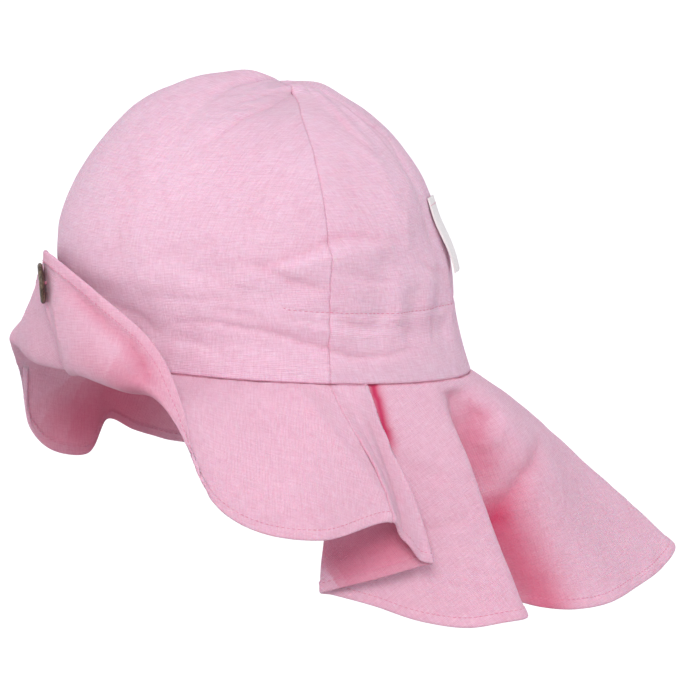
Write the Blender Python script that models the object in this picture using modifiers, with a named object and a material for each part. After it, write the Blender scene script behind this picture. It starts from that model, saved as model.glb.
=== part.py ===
"""A baby's linen sun hat as it sits on a head: a crown of two panels, a brim turned up at the front
under a button, and a long pleated neck flap.

Metres. +Z is up, the front is -Y and the wearer's left is +X. The origin is the middle of the seam that
joins the crown to the brim, which is where the hat sits on the head.
"""

import math
from collections import namedtuple

import bmesh
import bpy
import numpy as np
from mathutils import Matrix, Vector

SEAM_WIDTH = 0.150  # across the brim seam, side to side
SEAM_FRONT = 0.089  # from the origin forwards to the brim seam
SEAM_BACK = 0.095  # from the origin back to the brim seam
SEAM_SLOPE_DEG = 4.5  # the seam is higher at the front
CROWN_HEIGHT = 0.129  # from the origin to the top of the crown
BRIM_DEPTH = 0.076  # cloth from the brim seam to the hem, at the front
FLAP_LENGTH = 0.150  # cloth from the brim seam to the hem, at the back
CROWN_CLOTH = 0.0012  # thickness of the crown's wall
SKIRT_CLOTH = 0.0010  # thickness of the brim and of the flap
SEAM_GAP = 0.0003  # between pieces that are sewn together
PLEAT_GAP = 0.0004  # between the layers of a pleat where it is sewn in
GATHER_HEIGHT = 0.0312  # the elastic's stitching above the brim seam
GATHER_DEPTH = 0.0010  # how far the elastic's gathers stand out
GATHERS = 11  # gathers across the back of the casing
GATHER_SPREAD = 0.45  # how far above and below that height they reach, as a share of it
GATHER_START = 0.05  # cosine of the turn from the back where the gathers begin
GATHER_GROWTH = 0.40  # and how much more of it they take to reach their full depth
FOLD_FADE_SEAM = 0.05  # the crown's folds fade out over this share of the way up from the seam
FOLD_FADE_TOP = 0.06  # and over this share below the top
FOLD_TURN = 0.45  # share of the way up from which folds stand upwards more than outwards
BUTTON_DIAMETER = 0.0185
BUTTON_THICKNESS = 0.0028
BUTTON_HOLE = 0.0020  # diameter of each of the four holes
BUTTON_HOLE_SPACING = 0.0042
BUTTON_RISE = 0.80  # place of the button up the front of the brim, as a share of the brim's depth
BUTTON_LEAN_DEG = 9.0  # how far the button leans on its thread, towards the wearer's right
BUTTON_REST = 0.55  # where its underside then touches the brim, as a share of its radius
BUTTON_STEPS = 28
HOLE_STEPS = 8
# Half of the button's section: out as a share of its radius, and up as a share of half its thickness.
BUTTON_PROFILE = [
    (0.00, 0.45),
    (0.62, 0.45),
    (0.72, 0.95),
    (0.86, 1.00),
    (0.97, 0.70),
    (1.00, 0.10),
    (0.94, -0.60),
    (0.70, -0.95),
    (0.00, -1.00),
]
LABEL_LENGTH = 0.036
LABEL_WIDTH = 0.012
LABEL_CLOTH = 0.0010
LABEL_TOP = 0.071  # height of the label's sewn end above the origin
LABEL_DEG = 150.0  # place of the label round the crown
LABEL_STAND = 0.0012  # how far the label's free end stands off the crown
LABEL_TWIST_DEG = 12.0  # turn of the label's free end towards the wearer's left
LABEL_CURVE = 1.3  # power with which the label leaves the crown on its way down

# Outline of the crown. A row is one ring of it, from the brim seam up to the top: how far out and how
# high it lies at the front, the sides and the back. Out is a share of SEAM_FRONT, half of SEAM_WIDTH or
# SEAM_BACK, and high is a share of CROWN_HEIGHT above the seam at that place. Middle is how far behind
# the origin the side seam runs there, as a share of SEAM_BACK.
Ring = namedtuple("Ring", "front_out front_high side_out side_high back_out back_high middle")
CROWN_RINGS = [
    Ring(1.000, 0.000, 1.000, 0.000, 1.000, 0.000, 0.00),
    Ring(1.020, 0.097, 0.990, 0.115, 0.935, 0.145, 0.00),
    Ring(1.040, 0.245, 0.995, 0.242, 0.905, 0.245, 0.00),
    Ring(1.075, 0.347, 1.010, 0.357, 0.888, 0.380, 0.00),
    Ring(1.050, 0.500, 0.975, 0.504, 0.820, 0.530, 0.00),
    Ring(0.955, 0.656, 0.885, 0.651, 0.740, 0.672, 0.00),
    Ring(0.820, 0.788, 0.745, 0.790, 0.600, 0.795, 0.00),
    Ring(0.650, 0.912, 0.550, 0.888, 0.445, 0.890, 0.01),
    Ring(0.400, 0.995, 0.320, 0.935, 0.330, 0.945, 0.07),
    Ring(0.090, 1.018, 0.130, 0.955, 0.240, 0.965, 0.13),
    Ring(-0.170, 0.962, 0.000, 0.962, 0.170, 0.962, 0.16),
]

# Soft folds of the crown. From and to are places on it, in degrees round from the front and as a share
# of the way from the brim seam to the top. Width and height are shares of CROWN_HEIGHT: a height below
# zero is a dent.
Fold = namedtuple("Fold", "from_deg from_up to_deg to_up width height")
CROWN_FOLDS = [
    Fold(36, 0.55, 40, 0.93, 0.050, -0.012),
    Fold(60, 0.86, 105, 0.90, 0.050, 0.012),
    Fold(52, 0.33, 78, 0.27, 0.045, -0.014),
    Fold(66, 0.31, 112, 0.38, 0.035, 0.010),
    Fold(112, 0.33, 150, 0.40, 0.050, -0.010),
    Fold(30, 0.13, 74, 0.10, 0.035, -0.010),
    Fold(100, 0.14, 140, 0.12, 0.035, -0.010),
    Fold(122, 0.40, 118, 0.80, 0.050, 0.010),
    Fold(142, 0.38, 138, 0.82, 0.045, -0.010),
    Fold(-48, 0.35, -80, 0.29, 0.050, -0.012),
    Fold(-60, 0.80, -40, 0.50, 0.060, -0.010),
    Fold(-110, 0.36, -150, 0.30, 0.050, -0.012),
    Fold(-125, 0.45, -120, 0.82, 0.060, 0.010),
]

# The brim and flap. A row is one line of the cloth from the brim seam to the hem, in the order of the
# cloth. Seam_deg is its place round the seam (0 front, 90 the wearer's left, 180 back) and layer is how
# many layers of a pleat lie beneath it. Flap gives the line's length, from BRIM_DEPTH at 0 to
# FLAP_LENGTH at 1, and all that follows is a share of that length: where the hem lies from the seam, to
# the wearer's left, to the back and down, then the slope in degrees and the pull with which the cloth
# leaves the seam, and the heading, slope and pull with which it comes to the hem.
Line = namedtuple("Line", "seam_deg layer flap left back down leave_deg leave heading_deg hem_deg arrive")
SKIRT_LINES = [
    Line(-90.0, 0.0, 0.00, -0.41, 0.30, 0.74, 38, 0.34, 258, 70, 0.33),
    Line(-82.0, 0.0, 0.00, -0.46, 0.17, 0.71, 36, 0.34, 262, 62, 0.33),
    Line(-75.0, 0.0, 0.00, -0.49, 0.06, 0.64, 34, 0.35, 266, 55, 0.32),
    Line(-70.0, 0.0, 0.00, -0.48, -0.03, 0.56, 30, 0.37, 262, 55, 0.33),
    Line(-65.0, 0.0, 0.00, -0.56, -0.06, 0.78, 24, 0.35, 262, 74, 0.33),
    Line(-59.0, 0.0, 0.00, -0.61, -0.16, 0.76, 18, 0.35, 258, 80, 0.33),
    Line(-52.0, 0.0, 0.00, -0.62, -0.21, 0.62, 14, 0.37, 235, 78, 0.35),
    Line(-45.0, 0.0, 0.00, -0.54, -0.19, 0.32, 22, 0.37, 195, 52, 0.36),
    Line(-38.0, 0.0, 0.00, -0.42, -0.14, -0.02, 28, 0.38, 180, 5, 0.36),
    Line(-30.0, 0.0, 0.00, -0.26, -0.10, -0.28, 34, 0.40, 170, -40, 0.37),
    Line(-15.0, 0.0, 0.00, -0.17, -0.11, -0.48, 38, 0.40, 175, -66, 0.36),
    Line(-6.0, 0.0, 0.00, -0.08, -0.15, -0.61, 56, 0.34, 172, -78, 0.36),
    Line(0.0, 0.0, 0.00, 0.00, -0.225, -0.65, 72, 0.29, 180, -88, 0.34),
    Line(6.0, 0.0, 0.00, 0.10, -0.215, -0.605, 55, 0.34, 185, -78, 0.36),
    Line(15.0, 0.0, 0.00, 0.22, -0.15, -0.48, 22, 0.41, 190, -66, 0.38),
    Line(30.0, 0.0, 0.00, 0.38, -0.12, -0.29, 24, 0.42, 195, -42, 0.40),
    Line(38.0, 0.0, 0.00, 0.47, -0.15, -0.13, 26, 0.42, 185, -10, 0.40),
    Line(45.0, 0.0, 0.00, 0.55, -0.21, 0.10, 22, 0.40, 165, 25, 0.36),
    Line(54.0, 0.0, 0.00, 0.61, -0.33, 0.40, 14, 0.38, 140, 62, 0.34),
    Line(61.0, 0.0, 0.00, 0.61, -0.335, 0.65, 14, 0.36, 115, 76, 0.33),
    Line(69.0, 0.0, 0.00, 0.59, -0.20, 0.80, 18, 0.36, 100, 78, 0.33),
    Line(79.0, 0.0, 0.00, 0.56, -0.06, 0.84, 25, 0.35, 95, 76, 0.33),
    Line(90.0, 0.0, 0.00, 0.37, 0.23, 0.78, 38, 0.34, 105, 72, 0.33),
    Line(95.0, 2.0, 0.04, 0.30, 0.24, 0.86, 48, 0.33, 112, 76, 0.33),
    Line(99.5, 2.0, 0.13, 0.24, 0.24, 0.91, 56, 0.33, 125, 80, 0.33),
    Line(101.5, 1.5, 0.15, 0.23, 0.26, 0.91, 60, 0.33, 130, 80, 0.33),
    Line(100.3, 1.0, 0.15, 0.20, 0.235, 0.93, 62, 0.33, 128, 80, 0.33),
    Line(97.0, 1.0, 0.19, 0.11, 0.09, 0.965, 66, 0.33, 95, 84, 0.33),
    Line(93.5, 1.0, 0.24, 0.02, -0.025, 0.98, 70, 0.33, 80, 87, 0.33),
    Line(92.5, 0.5, 0.27, -0.01, -0.075, 0.98, 72, 0.33, 80, 88, 0.33),
    Line(93.8, 0.0, 0.29, -0.02, -0.03, 0.98, 74, 0.33, 90, 88, 0.33),
    Line(98.0, 0.0, 0.36, 0.035, 0.085, 0.98, 72, 0.33, 120, 86, 0.33),
    Line(104.0, 0.0, 0.47, 0.08, 0.18, 0.97, 70, 0.33, 130, 82, 0.33),
    Line(112.0, 0.0, 0.53, 0.13, 0.24, 0.955, 66, 0.33, 130, 80, 0.33),
    Line(120.0, 0.0, 0.55, 0.185, 0.285, 0.92, 60, 0.33, 128, 76, 0.33),
    Line(125.0, 0.0, 0.57, 0.19, 0.315, 0.90, 56, 0.33, 130, 74, 0.33),
    Line(129.0, 0.0, 0.58, 0.115, 0.30, 0.88, 60, 0.30, 165, 72, 0.33),
    Line(134.0, 0.0, 0.60, -0.01, 0.26, 0.87, 72, 0.28, 200, 72, 0.33),
    Line(139.0, 0.0, 0.60, -0.07, 0.27, 0.87, 70, 0.28, 195, 70, 0.33),
    Line(145.0, 0.0, 0.61, 0.02, 0.32, 0.885, 50, 0.32, 150, 70, 0.33),
    Line(151.0, 0.0, 0.65, 0.11, 0.385, 0.87, 36, 0.33, 135, 68, 0.33),
    Line(158.0, 0.0, 0.715, 0.125, 0.48, 0.83, 32, 0.33, 145, 61, 0.33),
    Line(166.0, 0.0, 0.81, 0.08, 0.575, 0.76, 31, 0.33, 160, 53, 0.33),
    Line(174.0, 0.0, 0.92, 0.015, 0.68, 0.68, 31, 0.33, 175, 46, 0.33),
    Line(181.0, 0.0, 1.00, -0.045, 0.74, 0.61, 31, 0.33, 185, 42, 0.33),
    Line(188.0, 0.0, 0.99, -0.11, 0.72, 0.61, 31, 0.33, 190, 43, 0.33),
    Line(196.0, 0.0, 0.865, -0.18, 0.65, 0.685, 34, 0.33, 200, 48, 0.33),
    Line(206.0, 0.0, 0.73, -0.205, 0.60, 0.75, 38, 0.33, 205, 55, 0.33),
    Line(218.0, 0.0, 0.62, -0.19, 0.56, 0.80, 44, 0.33, 205, 58, 0.33),
    Line(230.0, 0.0, 0.59, -0.165, 0.545, 0.815, 48, 0.33, 205, 62, 0.33),
    Line(240.0, 0.0, 0.55, -0.155, 0.525, 0.83, 52, 0.33, 210, 64, 0.33),
    Line(248.0, 0.0, 0.53, -0.125, 0.525, 0.835, 56, 0.33, 210, 64, 0.33),
    Line(256.0, 0.0, 0.47, -0.09, 0.54, 0.825, 58, 0.33, 205, 62, 0.33),
    Line(262.0, 0.0, 0.36, -0.045, 0.55, 0.82, 60, 0.33, 195, 60, 0.33),
    Line(266.2, 0.0, 0.29, 0.00, 0.545, 0.825, 62, 0.33, 185, 60, 0.33),
    Line(267.5, 0.5, 0.27, -0.01, 0.51, 0.84, 62, 0.33, 185, 60, 0.33),
    Line(266.5, 1.0, 0.25, -0.03, 0.525, 0.835, 60, 0.33, 190, 60, 0.33),
    Line(263.0, 1.0, 0.19, -0.12, 0.535, 0.82, 58, 0.33, 205, 60, 0.33),
    Line(259.7, 1.0, 0.15, -0.19, 0.525, 0.825, 54, 0.33, 215, 60, 0.33),
    Line(258.5, 1.5, 0.15, -0.22, 0.54, 0.81, 52, 0.33, 220, 60, 0.33),
    Line(260.5, 2.0, 0.13, -0.25, 0.52, 0.80, 50, 0.33, 225, 62, 0.33),
    Line(265.0, 2.0, 0.05, -0.32, 0.43, 0.79, 44, 0.33, 240, 66, 0.33),
]
BRIM_ENDS = (0, 22)  # the rows of the two side seams, where the brim ends and the flap begins

COLUMNS = {"crown_front": 30, "crown_back": 46, "front_brim": 48, "neck_flap": 96}
CROWN_ROWS = 15
SKIRT_ROWS = 9
LABEL_COLUMNS = 4
LABEL_ROWS = 8
FINE_COLUMNS = 240  # where a place on the cloth is looked up
FINE_STEP = 0.02  # how far apart points lie where the cloth's direction is looked up
CROWN_WALL_TOP = 0.8  # share of the way up below which the crown counts as its wall
Look = namedtuple("Look", "colour roughness")
LOOKS = {
    "crown_front": Look((0.83, 0.50, 0.64), 0.90),
    "crown_back": Look((0.81, 0.48, 0.62), 0.90),
    "front_brim": Look((0.85, 0.50, 0.65), 0.90),
    "neck_flap": Look((0.80, 0.46, 0.60), 0.90),
    "button": Look((0.14, 0.09, 0.06), 0.45),
    "label": Look((0.85, 0.84, 0.82), 0.80),
}


def clear_scene():
    for obj in list(bpy.data.objects):
        bpy.data.objects.remove(obj, do_unlink=True)


def smooth_through(values, at):
    """The rows of values followed by a smooth curve, read at the places in at, counted in rows."""
    values = np.asarray(values, float)
    last = len(values) - 1
    row = np.clip(np.floor(at).astype(int), 0, last - 1)
    t = (at - row)[:, None]
    before, start = values[np.maximum(row - 1, 0)], values[row]
    end, after = values[row + 1], values[np.minimum(row + 2, last)]
    leave, arrive = (end - before) / 2, (after - start) / 2
    return (
        start * (2 * t**3 - 3 * t**2 + 1)
        + leave * (t**3 - 2 * t**2 + t)
        + end * (3 * t**2 - 2 * t**3)
        + arrive * (t**3 - t**2)
    )


def seam_point(deg):
    """The brim seam at deg round from the front."""
    turn = np.radians(deg)
    reach = np.where(np.cos(turn) > 0, SEAM_FRONT, SEAM_BACK)
    y = -reach * np.cos(turn)
    return np.stack([SEAM_WIDTH / 2 * np.sin(turn), y, -y * math.tan(math.radians(SEAM_SLOPE_DEG))], axis=-1)


def seam_outward(deg):
    """The level direction that points away from the head, at deg round the brim seam."""
    turn = np.radians(deg)
    reach = np.where(np.cos(turn) > 0, SEAM_FRONT, SEAM_BACK)
    out = np.stack([reach * np.sin(turn), -SEAM_WIDTH / 2 * np.cos(turn), 0 * turn], axis=-1)
    return out / np.linalg.norm(out, axis=-1, keepdims=True)


def fold_height(deg, up):
    """How far the crown's folds move its cloth out."""
    height = np.zeros_like(deg)
    girth = SEAM_WIDTH / 2
    for fold in CROWN_FOLDS:
        start = np.array([math.radians(fold.from_deg) * girth, fold.from_up * CROWN_HEIGHT])
        along = np.array([math.radians(fold.to_deg) * girth, fold.to_up * CROWN_HEIGHT]) - start
        turn = (deg - fold.from_deg + 180) % 360 - 180 + fold.from_deg
        place = np.stack([np.radians(turn) * girth, up * CROWN_HEIGHT], axis=-1) - start
        share = place @ along / (along @ along)
        across = np.linalg.norm(place - np.clip(share, 0, 1)[..., None] * along, axis=-1)
        width = fold.width * CROWN_HEIGHT
        height += fold.height * CROWN_HEIGHT * np.exp(-((across / width) ** 2))
    return height


def gather_height(deg, rise):
    """The small gathers that the elastic makes across the back of the casing."""
    share = np.clip((np.cos(np.radians(deg - 180)) - GATHER_START) / GATHER_GROWTH, 0, 1)
    band = np.exp(-(((rise - GATHER_HEIGHT) / (GATHER_SPREAD * GATHER_HEIGHT)) ** 2))
    return GATHER_DEPTH * share * band * np.cos(np.radians(deg - 180) * 2 * GATHERS)


def crown_point(deg, up):
    """The middle of the crown's cloth at deg round from the front and up from 0 at the seam to 1 at the top."""
    rings = smooth_through(CROWN_RINGS, up * (len(CROWN_RINGS) - 1))
    front_out, front_high, side_out, side_high, back_out, back_high, middle = rings.T
    turn = np.radians(deg)
    to_front = np.cos(turn) > 0
    middle = middle * SEAM_BACK
    reach = np.where(to_front, front_out * SEAM_FRONT + middle, back_out * SEAM_BACK - middle)
    share = np.cos(turn) ** 2
    high = side_high + (np.where(to_front, front_high, back_high) - side_high) * share
    point = np.stack([side_out * SEAM_WIDTH / 2 * np.sin(turn), middle - reach * np.cos(turn), 0 * turn], axis=-1)
    point[:, 2] = high * CROWN_HEIGHT - point[:, 1] * math.tan(math.radians(SEAM_SLOPE_DEG)) * (1 - up)
    push = fold_height(deg, up) * np.clip(up / FOLD_FADE_SEAM, 0, 1) * np.clip((1 - up) / FOLD_FADE_TOP, 0, 1)
    push = push + gather_height(deg, high * CROWN_HEIGHT)
    slope = np.clip((up - FOLD_TURN) / (1 - FOLD_TURN), 0, 1)[:, None] * math.pi / 2
    away = seam_outward(deg) * np.cos(slope)
    away[:, 2] = np.sin(slope[:, 0])
    return point + push[:, None] * away


def skirt_controls():
    """The rows of SKIRT_LINES as numbers that can be blended: the seam angle, the layer, and the way from
    the seam to the two handles and the hem of a Bezier curve."""
    rows = []
    for line in SKIRT_LINES:
        length = BRIM_DEPTH + line.flap * (FLAP_LENGTH - BRIM_DEPTH)
        hem = np.array([line.left, line.back, -line.down]) * length
        slope = math.radians(line.leave_deg)
        leave = seam_outward(np.float64(line.seam_deg)) * math.cos(slope) - np.array([0, 0, math.sin(slope)])
        turn, slope = math.radians(line.heading_deg), math.radians(line.hem_deg)
        level = math.cos(slope)
        arrive = np.array([level * math.sin(turn), -level * math.cos(turn), -math.sin(slope)])
        first, second = leave * line.leave * length, hem - arrive * line.arrive * length
        rows.append(np.concatenate([[line.seam_deg, line.layer], first, second, hem]))
    return np.array(rows)


def skirt_places(rows):
    """Where each row lies along the cloth, so that close rows are close but never on top of each other."""
    steps = np.linalg.norm(np.diff(rows[:, 2:], axis=0), axis=1) / BRIM_DEPTH
    return np.concatenate([[0], np.cumsum(np.sqrt(steps))])


def skirt_surface(first, last, columns, downs):
    """Points of the skirt's middle surface from row first to row last of SKIRT_LINES, as an array of
    columns + 1 by len(downs), where a down of 0 is the seam and 1 is the hem."""
    rows = skirt_controls()
    count = len(rows)
    around = np.concatenate([rows[-2:], rows, rows[:3]])
    around[:2, 0] -= 360
    around[count + 2 :, 0] += 360
    places = skirt_places(around)
    slopes = np.zeros_like(around)
    ahead = np.diff(around, axis=0) / np.diff(places)[:, None]
    both = (around[2:] - around[:-2]) / (places[2:] - places[:-2])[:, None]
    slopes[1:-1] = ahead[1:] - both + ahead[:-1]
    at = np.linspace(places[first + 2], places[last + 2], columns + 1)
    row = np.clip(np.searchsorted(places, at, side="right") - 1, 1, len(places) - 3)
    width = (places[row + 1] - places[row])[:, None]
    t = (at - places[row])[:, None] / width
    mixed = (
        around[row] * (2 * t**3 - 3 * t**2 + 1)
        + slopes[row] * width * (t**3 - 2 * t**2 + t)
        + around[row + 1] * (3 * t**2 - 2 * t**3)
        + slopes[row + 1] * width * (t**3 - t**2)
    )
    seam = seam_point(mixed[:, 0]) - np.array([0, 0, SEAM_GAP + SKIRT_CLOTH / 2])
    seam = seam + seam_outward(mixed[:, 0]) * mixed[:, 1:2] * (SKIRT_CLOTH + PLEAT_GAP)
    s = np.asarray(downs)[None, :, None]
    first_handle, second_handle, hem = (mixed[:, None, i : i + 3] for i in (2, 5, 8))
    curve = 3 * (1 - s) ** 2 * s * first_handle + 3 * (1 - s) * s**2 * second_handle + s**3 * hem
    return seam[:, None] + curve


def drawn_in(grid):
    """The grid with its first and last columns drawn in by half a seam gap, so that sewn pieces stay apart."""
    grid = grid.copy()
    for edge, inner in ((0, 1), (-1, -2)):
        inward = grid[inner] - grid[edge]
        size = np.linalg.norm(inward, axis=1, keepdims=True)
        grid[edge] += inward / np.maximum(size, 1e-9) * np.minimum(SEAM_GAP / 2, size / 2)
    return grid


def material_for(name):
    material = bpy.data.materials.new(name)
    material.use_nodes = True
    shader = material.node_tree.nodes["Principled BSDF"]
    shader.inputs["Base Color"].default_value = (*LOOKS[name].colour, 1)
    shader.inputs["Roughness"].default_value = LOOKS[name].roughness
    shader.inputs["Metallic"].default_value = 0.0
    return material


def finish(obj, name, collection):
    """Names the object, gives it its material and puts it in the hat's collection."""
    obj.name = name
    obj.data.name = name
    obj.data.materials.clear()
    obj.data.materials.append(material_for(name))
    for other in list(obj.users_collection):
        other.objects.unlink(obj)
    collection.objects.link(obj)
    obj.data.shade_smooth()
    return obj


def cloth(grid, thickness, name, collection):
    """A sheet of cloth through the points of grid, thickened evenly to both sides."""
    columns, rows = grid.shape[0] - 1, grid.shape[1] - 1
    bpy.ops.mesh.primitive_grid_add(x_subdivisions=columns, y_subdivisions=rows, size=1.0)
    obj = bpy.context.object
    mesh = obj.data
    flat = np.empty(len(mesh.vertices) * 3)
    mesh.vertices.foreach_get("co", flat)
    place = np.rint((flat.reshape(-1, 3)[:, :2] + 0.5) * [columns, rows]).astype(int)
    mesh.vertices.foreach_set("co", grid[place[:, 0], place[:, 1]].ravel())
    mesh.update()
    solid = obj.modifiers.new("Solidify", "SOLIDIFY")
    solid.thickness = thickness
    solid.offset = 0.0
    return finish(obj, name, collection)


def crown_panel(name, start_deg, end_deg, lean, collection):
    """One panel of the crown. Its columns meet at the top, a hair to the lean side of the seam over it."""
    columns = COLUMNS[name]
    degs = np.linspace(start_deg, end_deg, columns + 1)
    ups = np.linspace(0, 1, CROWN_ROWS + 1)
    turns, rises = np.meshgrid(degs, ups, indexing="ij")
    grid = crown_point(turns.ravel(), rises.ravel()).reshape(columns + 1, CROWN_ROWS + 1, 3)
    grid = drawn_in(grid)
    grid[:, -1] = grid[:, -1].mean(axis=0) + np.array([0, lean * SEAM_GAP / 2, 0])
    obj = cloth(grid, CROWN_CLOTH, name, collection)
    weld_top(obj.data)
    return obj


def weld_top(mesh):
    """Joins the points that a panel's columns share at the top of the crown."""
    shape = bmesh.new()
    shape.from_mesh(mesh)
    bmesh.ops.remove_doubles(shape, verts=shape.verts, dist=1e-6)
    shape.to_mesh(mesh)
    shape.free()


def front_brim(collection):
    grid = skirt_surface(*BRIM_ENDS, COLUMNS["front_brim"], np.linspace(0, 1, SKIRT_ROWS + 1))
    return cloth(drawn_in(grid), SKIRT_CLOTH, "front_brim", collection)


def neck_flap(collection):
    ends = (BRIM_ENDS[1], len(SKIRT_LINES))
    grid = skirt_surface(*ends, COLUMNS["neck_flap"], np.linspace(0, 1, SKIRT_ROWS + 1))
    return cloth(drawn_in(grid), SKIRT_CLOTH, "neck_flap", collection)


def on_front_line(share):
    """A point on the turned-up brim in front of the origin, share of the way to its hem, and the two
    directions there: up the cloth and out of it."""
    grid = skirt_surface(*BRIM_ENDS, FINE_COLUMNS, [share - FINE_STEP, share, share + FINE_STEP])
    middle = int(np.argmin(np.abs(grid[:, 1, 0])))
    up = grid[middle, 2] - grid[middle, 0]
    side = grid[middle + 1, 1] - grid[middle - 1, 1]
    return Vector(grid[middle, 1]), Vector(up).normalized(), Vector(np.cross(side, up)).normalized()


def button(collection):
    """A turned button with a raised rim and four drilled holes, lying on the brim."""
    radius, half = BUTTON_DIAMETER / 2, BUTTON_THICKNESS / 2
    shape = bmesh.new()
    points = [shape.verts.new((out * radius, 0, up * half)) for out, up in BUTTON_PROFILE]
    for first, second in zip(points, points[1:]):
        shape.edges.new((first, second))
    mesh = bpy.data.meshes.new("button")
    shape.to_mesh(mesh)
    shape.free()
    obj = bpy.data.objects.new("button", mesh)
    bpy.context.scene.collection.objects.link(obj)
    turned = obj.modifiers.new("Screw", "SCREW")
    turned.steps = turned.render_steps = BUTTON_STEPS
    turned.use_merge_vertices = True
    turned.merge_threshold = 1e-5
    place, up, out = on_front_line(BUTTON_RISE)
    lean = math.radians(BUTTON_LEAN_DEG)
    stand = SKIRT_CLOTH / 2 + SEAM_GAP + half + BUTTON_REST * radius * math.sin(lean)
    frame = Matrix((up.cross(out), up, out)).transposed().to_4x4() @ Matrix.Rotation(-lean, 4, "Y")
    obj.matrix_world = Matrix.Translation(place + out * stand) @ frame
    cutters = bpy.data.collections.new("button_cutters")
    cutters.hide_render = True
    bpy.context.scene.collection.children.link(cutters)
    for number in range(4):
        drill_hole(obj, math.radians(45 + 90 * number), cutters)
    return finish(obj, "button", collection)


def drill_hole(button_obj, turn, cutters):
    """Cuts one of the button's holes, at this turn round its middle."""
    cutter = cylinder_cutter(BUTTON_HOLE / 2, 3 * BUTTON_THICKNESS, cutters)
    reach = BUTTON_HOLE_SPACING / 2
    place = Matrix.Translation((reach * math.cos(turn), reach * math.sin(turn), 0))
    cutter.matrix_world = button_obj.matrix_world @ place
    cut = button_obj.modifiers.new("Hole", "BOOLEAN")
    cut.object = cutter
    cut.operation = "DIFFERENCE"


def cylinder_cutter(radius, depth, cutters):
    bpy.ops.mesh.primitive_cylinder_add(vertices=HOLE_STEPS, radius=radius, depth=depth)
    cutter = bpy.context.object
    cutter.name = "button_hole"
    cutter.hide_render = True
    cutter.display_type = "WIRE"
    for other in list(cutter.users_collection):
        other.objects.unlink(cutter)
    cutters.objects.link(cutter)
    return cutter


def label(collection):
    """A ribbon sewn to the crown by its upper end, with its lower end standing off."""
    downs = np.linspace(0, 1, LABEL_ROWS + 1)
    turns = np.linspace(-0.5, 0.5, LABEL_COLUMNS + 1)
    start = seam_outward(np.float64(LABEL_DEG))
    across = np.array([-start[1], start[0], 0])
    grid = np.empty((len(turns), len(downs), 3))
    for column, turn in enumerate(turns):
        for row, down in enumerate(downs):
            height = LABEL_TOP - down * LABEL_LENGTH
            wall = crown_at_height(LABEL_DEG, height)
            stand = (CROWN_CLOTH + LABEL_CLOTH) / 2 + 2 * SEAM_GAP + LABEL_STAND * down**LABEL_CURVE
            twist = math.radians(LABEL_TWIST_DEG) * down
            side = across * math.cos(twist) - start * math.sin(twist)
            rest = LABEL_WIDTH / 2 * math.sin(twist)
            grid[column, row] = wall + start * (stand + rest) + side * turn * LABEL_WIDTH
    return cloth(grid, LABEL_CLOTH, "label", collection)


def crown_at_height(deg, height):
    """The crown's middle surface at deg round from the front and at this height above the origin."""
    ups = np.linspace(0, CROWN_WALL_TOP, FINE_COLUMNS)
    points = crown_point(np.full(FINE_COLUMNS, deg), ups)
    return points[int(np.argmin(np.abs(points[:, 2] - height)))]


def main():
    clear_scene()
    hat = bpy.data.collections.new("sun_hat")
    bpy.context.scene.collection.children.link(hat)
    crown_panel("crown_front", -90, 90, -1, hat)
    crown_panel("crown_back", 90, 270, 1, hat)
    front_brim(hat)
    neck_flap(hat)
    button(hat)
    label(hat)


main()
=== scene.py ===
import math
from collections import namedtuple
from functools import partial

import bpy
import numpy as np
from mathutils import Matrix, Vector, noise


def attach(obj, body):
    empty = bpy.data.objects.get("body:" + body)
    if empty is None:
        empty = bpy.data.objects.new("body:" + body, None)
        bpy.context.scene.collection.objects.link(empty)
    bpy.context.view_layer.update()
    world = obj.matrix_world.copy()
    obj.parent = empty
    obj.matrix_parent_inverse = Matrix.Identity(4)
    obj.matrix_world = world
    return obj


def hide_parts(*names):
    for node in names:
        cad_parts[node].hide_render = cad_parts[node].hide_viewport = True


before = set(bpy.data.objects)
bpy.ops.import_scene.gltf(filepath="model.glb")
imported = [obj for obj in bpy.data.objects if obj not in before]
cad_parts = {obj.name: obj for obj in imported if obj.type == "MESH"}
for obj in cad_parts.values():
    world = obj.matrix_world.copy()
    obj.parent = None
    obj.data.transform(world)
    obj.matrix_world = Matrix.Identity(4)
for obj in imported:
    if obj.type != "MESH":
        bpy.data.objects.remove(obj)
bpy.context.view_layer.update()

bpy.ops.object.select_all(action="DESELECT")
scene = bpy.context.scene
scene.unit_settings.system = "METRIC"
print("frame loaded")


# camera and its view of the hat

cameraSettings = {
    "azimuthDeg": 67,
    "elevationDeg": 9,
    "lens": 800,  # mm: a long lens, so that near and far folds keep their size
    "sensor": 36,
    "width": 0.3153,  # m seen across the picture at the hat
    "right": 0.0383,  # the picture's middle, right of the origin and above it
    "up": 0.0041,
}


def addCamera(settings):
    turn, tilt = math.radians(settings["azimuthDeg"]), math.radians(settings["elevationDeg"])
    back = Vector((math.sin(turn) * math.cos(tilt), -math.cos(turn) * math.cos(tilt), math.sin(tilt)))
    right = Vector((math.cos(turn), math.sin(turn), 0))
    middle = right * settings["right"] + back.cross(right) * settings["up"]
    camera = bpy.data.cameras.new("camera")
    camera.lens = settings["lens"]
    camera.sensor_width = settings["sensor"]
    camera.clip_start, camera.clip_end = 0.1, 100
    camera.dof.use_dof = False
    holder = bpy.data.objects.new("camera", camera)
    scene.collection.objects.link(holder)
    holder.location = middle + back * (settings["width"] * settings["lens"] / settings["sensor"])
    holder.rotation_mode = "QUATERNION"
    holder.rotation_quaternion = back.to_track_quat("Z", "Y")
    scene.camera = holder


addCamera(cameraSettings)
print("camera placed")


# the hat's own sizes, in metres, as the solids have them

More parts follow.
